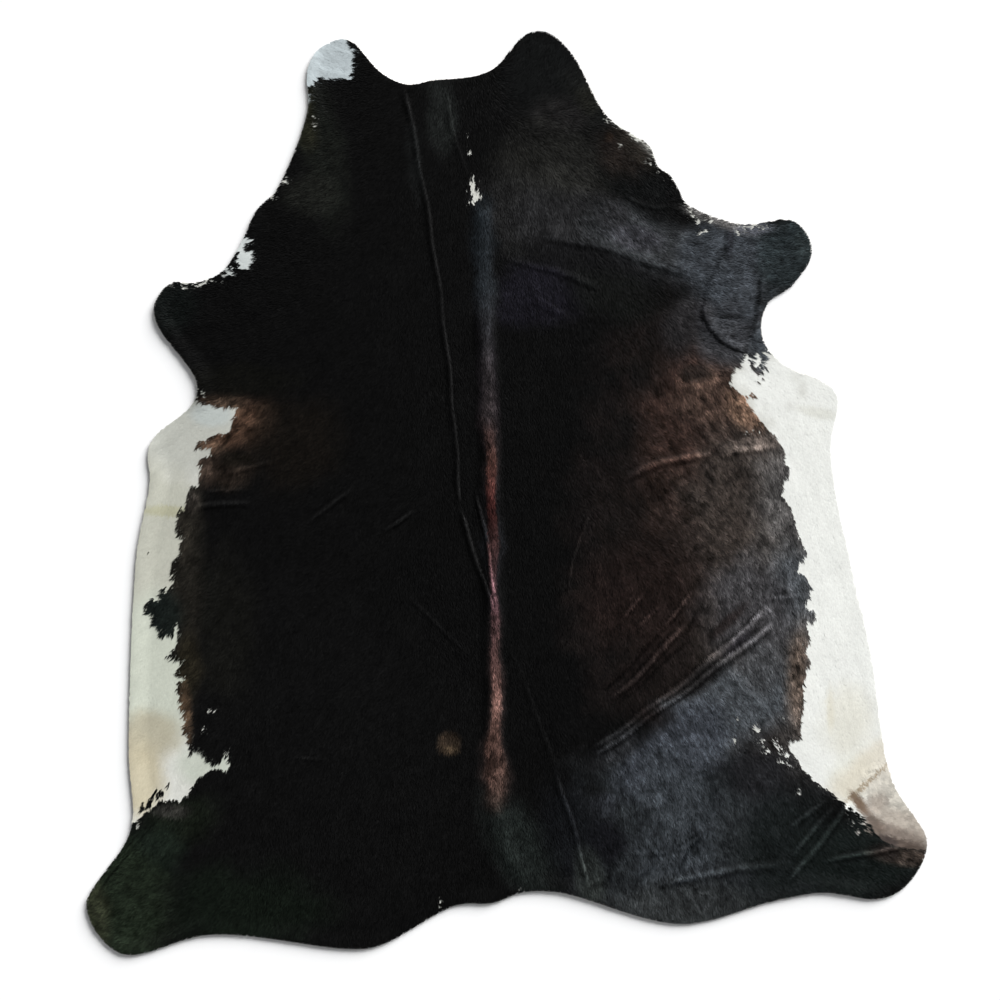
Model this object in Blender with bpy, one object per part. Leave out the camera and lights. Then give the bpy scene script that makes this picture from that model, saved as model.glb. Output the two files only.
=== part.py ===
"""Cowhide rug: one whole tanned hide with its short hair, lying hair side up on a floor.

The hide is a single sheet of even thickness, with the neck toward +Y and the hind legs toward
-Y.  Its outline is a smooth closed curve through landmarks.  Its underside lies on z = 0, except
where the skin lifts off the floor: along the spine, and in the ridges that folding has left.
Each ridge, swell or groove is one row of FOLDS.
"""

import math
from collections import namedtuple

import bmesh
import bpy
import numpy as np
from mathutils import Vector
from mathutils.geometry import delaunay_2d_cdt

# Driving sizes, in metres.
LENGTH = 2.200  # along Y, from the ear tips to the hind legs
WIDTH = 2.000  # along X, from hind leg to hind leg
THICKNESS = 0.005  # the tanned skin and the hair that lies on it

# The hide's outline, clockwise from the root of the left ear: a row for each stretch.
OUTLINE = {
    "left ear": [(-0.475, 1.005), (-0.450, 1.055), (-0.380, 1.080), (-0.295, 1.000)],
    "crown": [(-0.235, 0.975), (-0.180, 0.985), (-0.080, 0.995), (-0.030, 1.015)],
    "right ear": [(0.050, 1.095), (0.100, 1.095), (0.155, 1.045), (0.240, 0.895)],
    "right neck": [(0.340, 0.825), (0.360, 0.775), (0.385, 0.760), (0.415, 0.710), (0.425, 0.690)],
    "right foreleg": [(0.555, 0.640), (0.675, 0.650), (0.715, 0.615), (0.725, 0.565), (0.675, 0.490)],
    "right armpit": [(0.625, 0.455), (0.605, 0.395), (0.625, 0.335), (0.675, 0.295)],
    "right flank": [(0.745, 0.270), (0.785, 0.230), (0.770, 0.090), (0.865, -0.385), (0.915, -0.685)],
    "right hind leg": [(1.000, -0.840), (0.950, -0.940), (0.885, -0.970), (0.755, -0.955)],
    "right buttock": [(0.635, -0.975), (0.415, -1.030), (0.125, -0.955)],
    "tail": [(0.035, -0.955), (-0.035, -0.980), (-0.120, -0.985)],
    "left buttock": [(-0.300, -1.080), (-0.365, -1.090), (-0.705, -1.055)],
    "left hind leg": [(-0.920, -1.100), (-1.000, -0.990), (-0.895, -0.805)],
    "left flank": [(-0.900, -0.615), (-0.880, -0.140), (-0.850, 0.020), (-0.850, 0.115)],
    "left armpit": [(-0.745, 0.215), (-0.740, 0.265), (-0.830, 0.395)],
    "left foreleg": [(-0.840, 0.445), (-0.800, 0.500), (-0.745, 0.500), (-0.680, 0.525)],
    "left neck": [(-0.630, 0.600), (-0.595, 0.675), (-0.550, 0.720), (-0.475, 0.910)],
}

# Where the skin lifts off the floor.  A fold's centre line runs from its start to its end and
# bends by bow to the left of that way; reach is half its width and height is its crest.  A
# groove has a negative height and lowers the swell that it crosses.
Fold = namedtuple("Fold", "name start end bow reach height")
FOLDS = [
    Fold("spine", (-0.060, 0.700), (-0.020, -0.730), 0.010, 0.026, 0.008),
    Fold("spine at the rump", (-0.020, -0.730), (0.065, -0.945), -0.020, 0.026, 0.005),
    Fold("long fold, neck to loin", (-0.245, 0.975), (-0.110, -0.040), 0.020, 0.018, 0.008),
    Fold("long fold, over the loin", (-0.115, -0.030), (-0.030, -0.285), 0.000, 0.018, 0.007),
    Fold("nape fold", (-0.145, 0.965), (-0.090, 0.740), -0.005, 0.018, 0.006),
    Fold("rump fold", (0.005, -0.360), (0.200, -0.950), 0.005, 0.016, 0.006),
    Fold("hip fold, upper", (0.190, -0.620), (0.610, -0.290), 0.010, 0.016, 0.010),
    Fold("hip fold, lower", (0.215, -0.640), (0.645, -0.325), -0.010, 0.016, 0.010),
    Fold("loin fold", (0.235, -0.495), (0.425, -0.300), -0.015, 0.022, 0.007),
    Fold("belly fold", (0.255, 0.020), (0.495, 0.095), 0.015, 0.020, 0.006),
    Fold("belly fold, outer end", (0.515, 0.095), (0.645, 0.110), 0.000, 0.018, 0.005),
    Fold("shoulder swell, upper", (-0.015, 0.675), (0.410, 0.560), 0.020, 0.042, 0.007),
    Fold("shoulder swell, middle", (-0.045, 0.595), (0.315, 0.500), 0.010, 0.030, 0.008),
    Fold("shoulder swell, lower", (-0.030, 0.500), (0.245, 0.410), 0.005, 0.040, 0.006),
    Fold("armpit swell", (0.530, 0.590), (0.560, 0.370), 0.020, 0.090, 0.008),
    Fold("armpit groove, inner", (0.520, 0.600), (0.460, 0.410), -0.015, 0.014, -0.006),
    Fold("armpit groove, foot", (0.460, 0.410), (0.580, 0.345), -0.020, 0.014, -0.006),
    Fold("hind leg fold", (0.890, -0.650), (0.800, -0.735), 0.000, 0.020, 0.009),
    Fold("buttock fold", (0.805, -0.755), (0.630, -0.955), -0.010, 0.020, 0.008),
    Fold("buttock ridge", (0.340, -0.935), (0.620, -0.890), 0.005, 0.022, 0.008),
    Fold("hoof ridge", (0.740, -0.885), (0.975, -0.835), 0.005, 0.020, 0.007),
    Fold("left belly fold, upper", (-0.685, 0.045), (-0.525, 0.090), -0.005, 0.016, 0.005),
    Fold("left belly fold, lower", (-0.765, -0.035), (-0.600, -0.020), 0.000, 0.018, 0.006),
    Fold("left rib fold, outer", (-0.485, -0.080), (-0.365, 0.010), 0.005, 0.016, 0.005),
    Fold("left rib fold, inner", (-0.300, -0.095), (-0.215, -0.035), 0.000, 0.016, 0.005),
]

# How a fold varies along its length.
FADE = 0.050  # length over which each end rises from the floor
WAVER = 0.004  # how far its centre line strays to either side
WAVER_LENGTH = 0.190
UNEVEN = 0.250  # share by which its height rises and falls
UNEVEN_LENGTH = 0.310

# Spacing of the mesh's points.
EDGE_STEP = 0.026  # along the outline
FIELD_STEP = 0.072  # over the flat skin
FOLD_STEP = 0.036  # along a fold
RAILS = (-1.0, -0.5, 0.0, 0.5, 1.0)  # across a fold, in reaches
APART = 0.006  # least distance between two points

# Its colour and finish.
HAIR_COLOUR = (0.022, 0.020, 0.019, 1.0)
HAIR_ROUGHNESS = 0.55
SMOOTH_BELOW = math.radians(40.0)


def clear_scene():
    """Removes every object of the scene."""
    for thing in list(bpy.data.objects):
        bpy.data.objects.remove(thing, do_unlink=True)


def haired_hide():
    """The hide's material: black hair with a low sheen."""
    material = bpy.data.materials.new("haired_hide")
    material.use_nodes = True
    shader = material.node_tree.nodes["Principled BSDF"]
    shader.inputs["Base Color"].default_value = HAIR_COLOUR
    shader.inputs["Roughness"].default_value = HAIR_ROUGHNESS
    shader.inputs["Metallic"].default_value = 0.0
    return material


def evenly(points, step, closed):
    """Points every step or so along the line through points, as an array of (x, y)."""
    line = np.vstack([points, points[:1]]) if closed else np.asarray(points)
    run = np.concatenate([[0.0], np.cumsum(np.hypot(*np.diff(line, axis=0).T))])
    count = max(2, round(run[-1] / step))
    stops = np.linspace(0.0, run[-1], count, endpoint=False) if closed else np.linspace(0.0, run[-1], count + 1)
    return np.column_stack([np.interp(stops, run, line[:, axis]) for axis in (0, 1)])


def smooth_loop(landmarks, per_span=24):
    """A closed Catmull-Rom curve through the landmarks, with knots spaced by the root of each chord."""
    here = np.asarray(landmarks)
    before, after, beyond = np.roll(here, 1, axis=0), np.roll(here, -1, axis=0), np.roll(here, -2, axis=0)
    knot_1 = np.sqrt(np.hypot(*(here - before).T))[:, None, None]
    knot_2 = knot_1 + np.sqrt(np.hypot(*(after - here).T))[:, None, None]
    knot_3 = knot_2 + np.sqrt(np.hypot(*(beyond - after).T))[:, None, None]
    at = knot_1 + (knot_2 - knot_1) * np.linspace(0.0, 1.0, per_span, endpoint=False)[None, :, None]

    def blend(first, last, start, end):
        return ((end - at) * first + (at - start) * last) / (end - start)

    before, here, after, beyond = (points[:, None, :] for points in (before, here, after, beyond))
    lower = blend(before, here, 0.0, knot_1)
    middle = blend(here, after, knot_1, knot_2)
    upper = blend(after, beyond, knot_2, knot_3)
    curve = blend(blend(lower, middle, 0.0, knot_2), blend(middle, upper, knot_1, knot_3), knot_1, knot_2)
    return curve.reshape(-1, 2)


def hide_outline():
    """The outline as points EDGE_STEP apart, centred on the origin, WIDTH wide and LENGTH long."""
    curve = smooth_loop([place for stretch in OUTLINE.values() for place in stretch])
    low, high = curve.min(axis=0), curve.max(axis=0)
    fitted = (curve - (low + high) / 2.0) * np.array([WIDTH, LENGTH]) / (high - low)
    outline = evenly(fitted, EDGE_STEP, closed=True)
    for axis, size in ((0, WIDTH), (1, LENGTH)):
        outline[outline[:, axis].argmin(), axis] = -size / 2.0
        outline[outline[:, axis].argmax(), axis] = size / 2.0
    return outline


def centre_line(fold, step):
    """A fold's centre line: a shallow arc that wavers a little, as points step apart."""
    start, end = np.array(fold.start), np.array(fold.end)
    length = math.hypot(*(end - start))
    left = np.array([start[1] - end[1], end[0] - start[0]]) / length
    part = np.linspace(0.0, 1.0, max(5, round(length / step) + 1))[:, None]
    phase = sum(fold.start) * 40.0
    waver = WAVER * np.sin(math.tau * part * length / WAVER_LENGTH + phase)
    return start + part * (end - start) + (4.0 * part * (1.0 - part) * fold.bow + waver) * left


def nearest_on(line, points):
    """For each point, its distance to the line and how far along the line its foot lies."""
    first, side = line[:-1], np.diff(line, axis=0)
    length = np.hypot(*side.T)
    run = np.concatenate([[0.0], np.cumsum(length)[:-1]])
    offset = points[:, None, :] - first[None, :, :]
    share = np.clip((offset * side).sum(axis=2) / length ** 2, 0.0, 1.0)
    away = np.hypot(*np.moveaxis(offset - share[:, :, None] * side, 2, 0))
    pick = away.argmin(axis=1)
    row = np.arange(len(points))
    return away[row, pick], run[pick] + share[row, pick] * length[pick]


def lift(points):
    """How far the underside lies above the floor at each (x, y).

    Each fold adds its height times a bell across it, (1 + cos) / 2 of the distance over its
    reach, times a rise over FADE at either end, times a slow swing of UNEVEN along it.
    """
    raised = np.zeros(len(points))
    for fold in FOLDS:
        line = centre_line(fold, 0.020)
        away, along = nearest_on(line, points)
        length = np.hypot(*np.diff(line, axis=0).T).sum()
        bell = 0.5 + 0.5 * np.cos(math.pi * np.clip(away / fold.reach, 0.0, 1.0))
        rise = np.clip(np.minimum(along, length - along) / FADE, 0.0, 1.0)
        swing = 1.0 + UNEVEN * np.sin(math.tau * along / UNEVEN_LENGTH + sum(fold.end) * 40.0)
        raised += fold.height * bell * rise * rise * (3.0 - 2.0 * rise) * swing
    return np.clip(raised, 0.0, None)


def is_inside(points, outline):
    """Which points lie within the outline: those with an odd number of its sides to their right."""
    ahead = np.roll(outline, -1, axis=0)
    x, y = points[:, 0, None], points[:, 1, None]
    straddles = (outline[:, 1] > y) != (ahead[:, 1] > y)
    rise = np.where(ahead[:, 1] == outline[:, 1], 1.0, ahead[:, 1] - outline[:, 1])
    crossing = outline[:, 0] + (y - outline[:, 1]) / rise * (ahead[:, 0] - outline[:, 0])
    return (straddles & (x < crossing)).sum(axis=1) % 2 == 1


def fold_points():
    """Points on every fold, in rows along it at each of the RAILS."""
    rows = []
    for fold in FOLDS:
        line = evenly(centre_line(fold, 0.020), FOLD_STEP, closed=False)
        ahead = np.gradient(line, axis=0)
        left = np.column_stack([-ahead[:, 1], ahead[:, 0]]) / np.hypot(*ahead.T)[:, None]
        rows += [line + rail * fold.reach * left for rail in RAILS]
    return np.vstack(rows)


def field_points():
    """A staggered grid of points over the whole hide."""
    across = np.arange(-WIDTH / 2.0, WIDTH / 2.0, FIELD_STEP)
    along = np.arange(-LENGTH / 2.0, LENGTH / 2.0, FIELD_STEP * math.sqrt(3.0) / 2.0)
    grid_x, grid_y = np.meshgrid(across, along)
    grid_x[1::2] += FIELD_STEP / 2.0
    return np.column_stack([grid_x.ravel(), grid_y.ravel()])


def thinned(points, taken, gap):
    """The points that keep gap from those taken and from each other, in order."""
    kept = []
    held = np.asarray(taken)
    for point in points:
        if np.hypot(*(held - point).T).min() > gap:
            kept.append(point)
            held = np.vstack([held, point])
    return np.array(kept)


def hide_triangles():
    """The hide seen from above: its points, outline first, and the triangles between them."""
    outline = hide_outline()
    on_folds = fold_points()
    on_folds = thinned(on_folds[is_inside(on_folds, outline)], outline, APART)
    field = field_points()
    field = field[is_inside(field, outline)]
    field = thinned(field, np.vstack([outline, on_folds]), FIELD_STEP * 0.45)
    points = np.vstack([outline, on_folds, field])
    rim = list(range(len(outline)))
    sides = list(zip(rim, rim[1:] + rim[:1]))
    corners, _, triangles, *_ = delaunay_2d_cdt([Vector(p) for p in points], sides, [rim], 1, 1e-7)
    return np.array([tuple(corner) for corner in corners]), triangles


def make_hide():
    """The hide: its underside is laid out in triangles, then the whole sheet is thickened upward."""
    points, triangles = hide_triangles()
    below = np.column_stack([points, lift(points)])
    mesh = bpy.data.meshes.new("hide")
    shape = bmesh.new()
    corners = [shape.verts.new(corner) for corner in below]
    sheet = [shape.faces.new([corners[i] for i in triangle]) for triangle in triangles]
    top = bmesh.ops.extrude_face_region(shape, geom=sheet)
    raised = [part for part in top["geom"] if isinstance(part, bmesh.types.BMVert)]
    bmesh.ops.translate(shape, verts=raised, vec=(0.0, 0.0, THICKNESS))
    bmesh.ops.recalc_face_normals(shape, faces=shape.faces)
    shape.to_mesh(mesh)
    shape.free()
    mesh.shade_smooth()
    mesh.set_sharp_from_angle(angle=SMOOTH_BELOW)
    mesh.materials.append(haired_hide())
    hide = bpy.data.objects.new("hide", mesh)
    bpy.context.scene.collection.objects.link(hide)
    return hide


clear_scene()
make_hide()
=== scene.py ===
# %% [markdown]
# # A cowhide rug
#
# The real thing is one tanned cow's skin with its short hair left on, lying hair side up. The
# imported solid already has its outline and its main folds, so this script dresses that solid: a
# thin skin with a suede underside, and on it a coat of short locks of hair that lie flat, run
# from the spine outward and down the back, and carry the animal's black, brown, slate and white
# markings.

# %% The frame that everything here must fit
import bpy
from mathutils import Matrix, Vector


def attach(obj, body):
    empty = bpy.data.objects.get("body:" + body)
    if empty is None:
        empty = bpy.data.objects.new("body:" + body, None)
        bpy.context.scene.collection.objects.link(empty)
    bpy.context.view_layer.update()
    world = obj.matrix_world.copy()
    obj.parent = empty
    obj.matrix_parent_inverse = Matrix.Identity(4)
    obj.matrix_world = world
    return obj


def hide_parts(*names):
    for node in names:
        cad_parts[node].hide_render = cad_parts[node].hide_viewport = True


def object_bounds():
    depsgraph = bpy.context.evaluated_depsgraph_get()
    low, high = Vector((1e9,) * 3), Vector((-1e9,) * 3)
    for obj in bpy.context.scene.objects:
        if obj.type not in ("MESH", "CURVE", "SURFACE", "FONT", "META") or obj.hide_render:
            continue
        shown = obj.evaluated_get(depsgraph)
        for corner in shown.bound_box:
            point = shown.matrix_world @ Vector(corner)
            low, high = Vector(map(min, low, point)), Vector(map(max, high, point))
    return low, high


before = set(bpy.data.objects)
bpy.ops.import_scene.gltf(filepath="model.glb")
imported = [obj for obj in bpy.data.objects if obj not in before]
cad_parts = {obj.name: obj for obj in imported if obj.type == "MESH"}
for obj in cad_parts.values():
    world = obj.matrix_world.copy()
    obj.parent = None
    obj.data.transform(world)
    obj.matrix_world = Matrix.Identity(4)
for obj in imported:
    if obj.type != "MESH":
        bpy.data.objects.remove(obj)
cad_box = [list(map(float, corner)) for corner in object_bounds()]

import math
from collections import namedtuple

import bpy
import numpy as np
from mathutils import Vector
from mathutils.geometry import delaunay_2d_cdt

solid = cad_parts["hide"]
print("the solid's box:", cad_box)

# %% [markdown]
# ## Camera, light and floor
#
# The rug is photographed from straight above. A long lens high over it keeps its edges from
# leaning outward. The light is a low, wide sun from the upper right over a dim even sky: each
# fold gets a bright and a dark side, and the rug's edge casts a thin soft shadow to the lower
# left. The floor is a plain white sheet a hair's breadth below the skin.

# %% Camera
PIXEL = 0.002384  # metres of floor in one pixel of the photograph
PHOTO_SIDE = 1000  # pixels
ORIGIN_AT = (507.0, 493.0)  # the pixel in which the origin lies
LENS = 85.0  # millimetres
SENSOR = 36.0  # millimetres

view_side = PIXEL * PHOTO_SIDE
camera_data = bpy.data.cameras.new("camera")
camera_data.lens = LENS
camera_data.sensor_width = SENSOR
camera = bpy.data.objects.new("camera", camera_data)
camera.location = (
    (PHOTO_SIDE / 2 - ORIGIN_AT[0]) * PIXEL,
    (ORIGIN_AT[1] - PHOTO_SIDE / 2) * PIXEL,
    view_side * LENS / SENSOR,
)
bpy.context.scene.collection.objects.link(camera)
bpy.context.scene.camera = camera
bpy.context.scene.view_settings.view_transform = "Standard"
print("the camera looks down from", round(camera.location.z, 2), "m on", round(view_side, 3), "m")

# %% Light
SUN_HEIGHT = 20.0  # degrees over the floor
SUN_SIDE = 53.0  # degrees from +X toward +Y
SUN_WIDTH = 48.0  # degrees across
SUN_STRENGTH = 8.35
SKY_COLOUR = (0.25, 0.255, 0.26)

sun_data = bpy.data.lights.new("sun", "SUN")
sun_data.energy = SUN_STRENGTH
sun_data.angle = math.radians(SUN_WIDTH)
sun = bpy.data.objects.new("sun", sun_data)
sun.rotation_euler = (math.radians(90.0 - SUN_HEIGHT), 0.0, math.radians(SUN_SIDE + 90.0))
bpy.context.scene.collection.objects.link(sun)
sky = bpy.data.worlds.new("sky")
sky.use_nodes = True
sky.node_tree.nodes["Background"].inputs["Color"].default_value = (*SKY_COLOUR, 1.0)
bpy.context.scene.world = sky
print("the sun stands", SUN_HEIGHT, "degrees high, at the upper right")

# %% Helpers for meshes and materials


def put_mesh(name, corners, faces, materials):
    """A mesh object at the origin from its corners and faces, with its materials in order."""
    mesh = bpy.data.meshes.new(name)
    mesh.from_pydata(corners, [], faces)
    for material in materials:
        mesh.materials.append(material)
    thing = bpy.data.objects.new(name, mesh)
    bpy.context.scene.collection.objects.link(thing)
    return thing


def new_material(name, roughness, specular):
    """A material with one Principled shader, and that shader."""
    material = bpy.data.materials.new(name)
    material.use_nodes = True
    shader = material.node_tree.nodes["Principled BSDF"]
    shader.inputs["Roughness"].default_value = roughness
    shader.inputs["Specular IOR Level"].default_value = specular
    return material, shader


# %% Floor
FLOOR_SIDE = 120.0  # metres: its own edge is far off in every view
FLOOR_DROP = 0.0005
FLOOR_TONE = 0.9  # share of the light that it sends back

floor_white, shader = new_material("floor_white", roughness=0.9, specular=0.0)
shader.inputs["Base Color"].default_value = (FLOOR_TONE, FLOOR_TONE, FLOOR_TONE, 1.0)
half = FLOOR_SIDE / 2.0
floor_corners = [(x, y, -FLOOR_DROP) for x, y in ((-half, -half), (half, -half), (half, half), (-half, half))]
floor = put_mesh("floor", floor_corners, [(0, 1, 2, 3)], [floor_white])
print("the floor lies", FLOOR_DROP * 1000.0, "mm below the skin")

# %% [markdown]
# ## The rim
#
# A finished hide is trimmed with a knife along one smooth curve: two ears at the neck, four
# legs, two flanks. The solid's wall follows that curve, so its corners are the natural thing to
# read it from. Seen from a spot near the middle every ray crosses the rim once, which makes the
# rim a plain function: its distance from that spot in each direction.

# %% Read the rim from the solid's wall
MIDDLE = np.array([0.08, 0.20])  # the spot from which the whole rim is in sight
SPAN_STEPS = 8  # points of the smooth curve for each side of the wall
UPRIGHT = 0.3  # a face whose normal rises by less than this is part of the wall
LEAST_FACING = 0.15  # held where the rim runs almost along its ray


def wall_corners(solid):
    """The corners of the solid's upright faces, seen from above, in order round MIDDLE."""
    mesh = solid.data
    corners = np.empty(len(mesh.vertices) * 3)
    mesh.vertices.foreach_get("co", corners)
    normals = np.empty(len(mesh.polygons) * 3)
    mesh.polygons.foreach_get("normal", normals)
    users = np.empty(len(mesh.loops), dtype=np.int32)
    mesh.loops.foreach_get("vertex_index", users)
    upright = np.abs(normals.reshape(-1, 3)[:, 2]) < UPRIGHT
    on_wall = corners.reshape(-1, 3)[users.reshape(-1, 3)[upright].ravel(), :2]
    rim = np.unique(on_wall.round(5), axis=0)
    away = rim - MIDDLE
    return rim[np.argsort(np.arctan2(away[:, 1], away[:, 0]))]


def rounded(loop, steps):
    """A closed Catmull-Rom curve: between two corners, half of
    2b + (c - a)t + (2a - 5b + 4c - d)t² + (3b - a - 3c + d)t³."""
    a, b, c, d = (np.roll(loop, shift, axis=0)[:, None, :] for shift in (1, 0, -1, -2))
    t = np.linspace(0.0, 1.0, steps, endpoint=False)[None, :, None]
    square, cube = 2 * a - 5 * b + 4 * c - d, 3 * b - a - 3 * c + d
    curve = 0.5 * (2 * b + (c - a) * t + square * t**2 + cube * t**3)
    return curve.reshape(-1, 2)


rim = rounded(wall_corners(solid), SPAN_STEPS)
rim_side = np.roll(rim, -1, axis=0) - np.roll(rim, 1, axis=0)
rim_out = np.column_stack([rim_side[:, 1], -rim_side[:, 0]]) / np.hypot(*rim_side.T)[:, None]
rim_ray = rim - MIDDLE
rim_reach = np.hypot(*rim_ray.T)
rim_angle = np.arctan2(rim_ray[:, 1], rim_ray[:, 0])
rim_facing = np.clip((rim_out * rim_ray).sum(axis=1) / rim_reach, LEAST_FACING, 1.0)
print("the rim:", len(rim), "points,", round(np.hypot(*np.diff(rim, axis=0).T).sum(), 2), "m round")

# %% How far inside the rim


def inside_by(points):
    """How far inside the rim each point lies: what it falls short along its ray from MIDDLE,
    times the cosine between that ray and the way the rim faces."""
    away = points - MIDDLE
    angle = np.arctan2(away[:, 1], away[:, 0])
    short = np.interp(angle, rim_angle, rim_reach, period=math.tau) - np.hypot(*away.T)
    return short * np.interp(angle, rim_angle, rim_facing, period=math.tau)


print("the origin lies", inside_by(np.zeros((1, 2))).round(2), "m inside the rim")

# %% [markdown]
# ## Natural unevenness
#
# Nothing on an animal is even, so colour, direction and length are all varied by the same
# helper: random numbers at the crossings of a square net, blended smoothly between. Laid over
# each other at half the size and half the strength they look like clouds.

# %% Clouds and streaks
CLOUD_SIDE = 256  # crossings along a side of a cloud's net, after which it repeats itself
CLOUD_GAIN = 1.5  # layers seldom peak at one spot, so their mean is raised by this
STREAK_GAIN = 1.3


def smooth(share):
    """An even rise from 0 to 1: 3t² - 2t³ of the share, which is held between 0 and 1."""
    share = np.clip(share, 0.0, 1.0)
    return share * share * (3.0 - 2.0 * share)


def cloud(points, size, seed):
    """Random numbers from -1 to 1 at crossings size apart, blended smoothly between them."""
    numbers = np.random.default_rng(seed).uniform(-1.0, 1.0, (CLOUD_SIDE, CLOUD_SIDE))
    spot = points / size
    cell = np.floor(spot)
    u, v = smooth(spot - cell).T
    x, y = cell.astype(int).T % CLOUD_SIDE
    right, up = (x + 1) % CLOUD_SIDE, (y + 1) % CLOUD_SIDE
    lower = numbers[x, y] * (1 - u) + numbers[right, y] * u
    upper = numbers[x, up] * (1 - u) + numbers[right, up] * u
    return lower * (1 - v) + upper * v


def clouds(points, size, seed, layers=3):
    """Clouds over clouds, each half as large and half as strong, from about -1 to 1."""
    total = sum(cloud(points, size * 0.5**layer, seed + layer) * 0.5**layer for layer in range(layers))
    return total / (2.0 - 0.5 ** (layers - 1)) * CLOUD_GAIN


def streaks(points, lie, size, length, seed, steps=7):
    """A cloud drawn out along the way the hair lies: its sum over some steps, divided by the square
    root of their number, so that it stays about as strong as the cloud."""
    shifts = np.linspace(-0.5, 0.5, steps) * length
    return sum(cloud(points + shift * lie, size, seed) for shift in shifts) / math.sqrt(steps) * STREAK_GAIN


print("clouds over one metre:", clouds(np.random.default_rng(0).random((5, 2)), 0.1, seed=3).round(2))

# %% [markdown]
# ## Folds and creases
#
# The skin lay folded in a bale before it was unrolled, so it keeps the ridges of the bale's
# folds: a pair across the hip, long ones down the neck, swells over the shoulder. The first rows
# follow the solid's folds. Those are wide and high, because a stiff sheet of even thickness can't
# be creased; thin skin has them lower, sharper and a little to the side. The creases after them
# are too fine for the solid. A fold's centre line runs from start to end and bends by bow to its
# left. Reach is half its width and height its crest. A lean above 0 makes it longer on its left
# and steeper on its right. A groove has a negative height and is pressed into the hair side.

# %% The main folds
Fold = namedtuple("Fold", "name start end bow reach height lean", defaults=(0.0,))
FOLDS = [Fold(*row) for row in [
    ("spine", (-0.060, 0.700), (-0.025, -0.730), 0.006, 0.036, 0.0045),
    ("spine at the rump", (-0.025, -0.730), (0.065, -0.945), -0.020, 0.036, 0.003),
    ("long fold, neck to loin", (-0.245, 0.975), (-0.110, -0.040), 0.020, 0.012, 0.0018, -0.5),
    ("long fold, over the loin", (-0.115, -0.030), (-0.030, -0.285), 0.000, 0.012, 0.0024, -0.4),
    ("nape fold", (-0.145, 0.965), (-0.090, 0.740), -0.005, 0.014, 0.0008, -0.5),
    ("rump fold, upper", (0.005, -0.360), (0.125, -0.680), 0.003, 0.014, 0.0006, -0.3),
    ("rump fold, lower", (0.115, -0.660), (0.200, -0.950), 0.003, 0.015, 0.002, -0.3),
    ("hip fold, upper", (0.195, -0.614), (0.622, -0.270), -0.014, 0.020, 0.0065, -0.4),
    ("hip fold, lower", (0.203, -0.630), (0.640, -0.306), -0.005, 0.014, 0.0052),
    ("hip fold, tip", (0.598, -0.266), (0.640, -0.308), 0.008, 0.010, 0.0014),
    ("loin fold", (0.235, -0.500), (0.430, -0.300), -0.010, 0.014, 0.004),
    ("belly fold", (0.255, 0.020), (0.495, 0.095), 0.015, 0.020, 0.0032),
    ("belly fold, outer end", (0.515, 0.095), (0.645, 0.110), 0.000, 0.018, 0.0024),
    ("shoulder swell, upper", (0.067, 0.617), (0.453, 0.510), 0.014, 0.030, 0.0028, 0.4),
    ("shoulder swell, middle", (-0.017, 0.563), (0.236, 0.482), 0.006, 0.016, 0.0014, 0.3),
    ("shoulder swell, lower", (0.036, 0.465), (0.155, 0.412), 0.003, 0.014, 0.001),
    ("armpit swell", (0.530, 0.580), (0.545, 0.340), 0.010, 0.090, 0.004),
    ("armpit fold, inner", (0.527, 0.579), (0.470, 0.384), -0.018, 0.022, 0.003, 0.7),
    ("armpit fold, foot", (0.462, 0.455), (0.589, 0.336), -0.035, 0.022, 0.003, 0.7),
    ("hind leg fold", (0.905, -0.637), (0.800, -0.735), 0.000, 0.012, 0.0016),
    ("buttock fold", (0.822, -0.735), (0.660, -0.940), 0.000, 0.016, 0.0042),
    ("buttock ridge", (0.341, -0.937), (0.682, -0.880), 0.005, 0.022, 0.003),
    ("hoof ridge", (0.740, -0.885), (0.975, -0.840), 0.005, 0.014, 0.002),
    ("left belly fold, upper", (-0.685, 0.045), (-0.525, 0.090), -0.005, 0.014, 0.0012),
    ("left belly fold, lower", (-0.765, -0.035), (-0.600, -0.020), 0.000, 0.014, 0.0022),
    ("left rib fold, outer", (-0.485, -0.080), (-0.365, 0.010), 0.005, 0.014, 0.002),
    ("left rib fold, inner", (-0.300, -0.095), (-0.215, -0.035), 0.000, 0.012, 0.0035),
]]
FADE = 0.050  # length over which each end rises from the floor
WAVER = 0.002  # how far a centre line strays to either side
WAVER_LENGTH = 0.190
UNEVEN = 0.250  # share by which a height rises and falls
UNEVEN_LENGTH = 0.310
PHASE = 40.0  # turns a fold's place into the start of its waves, so that no two are alike
LINE_STEP = 0.020  # length of the straight pieces of a centre line
NARROW_REACH = 0.028  # folds of less reach than this are creases with a narrow crest
NARROW_CREST = 1.8  # the power that narrows it
STEP_LEAN = 0.6  # a fold that leans further than this is a step without a crest
print(len(FOLDS), "folds; the highest is", max(fold.height for fold in FOLDS) * 1000, "mm")

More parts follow.
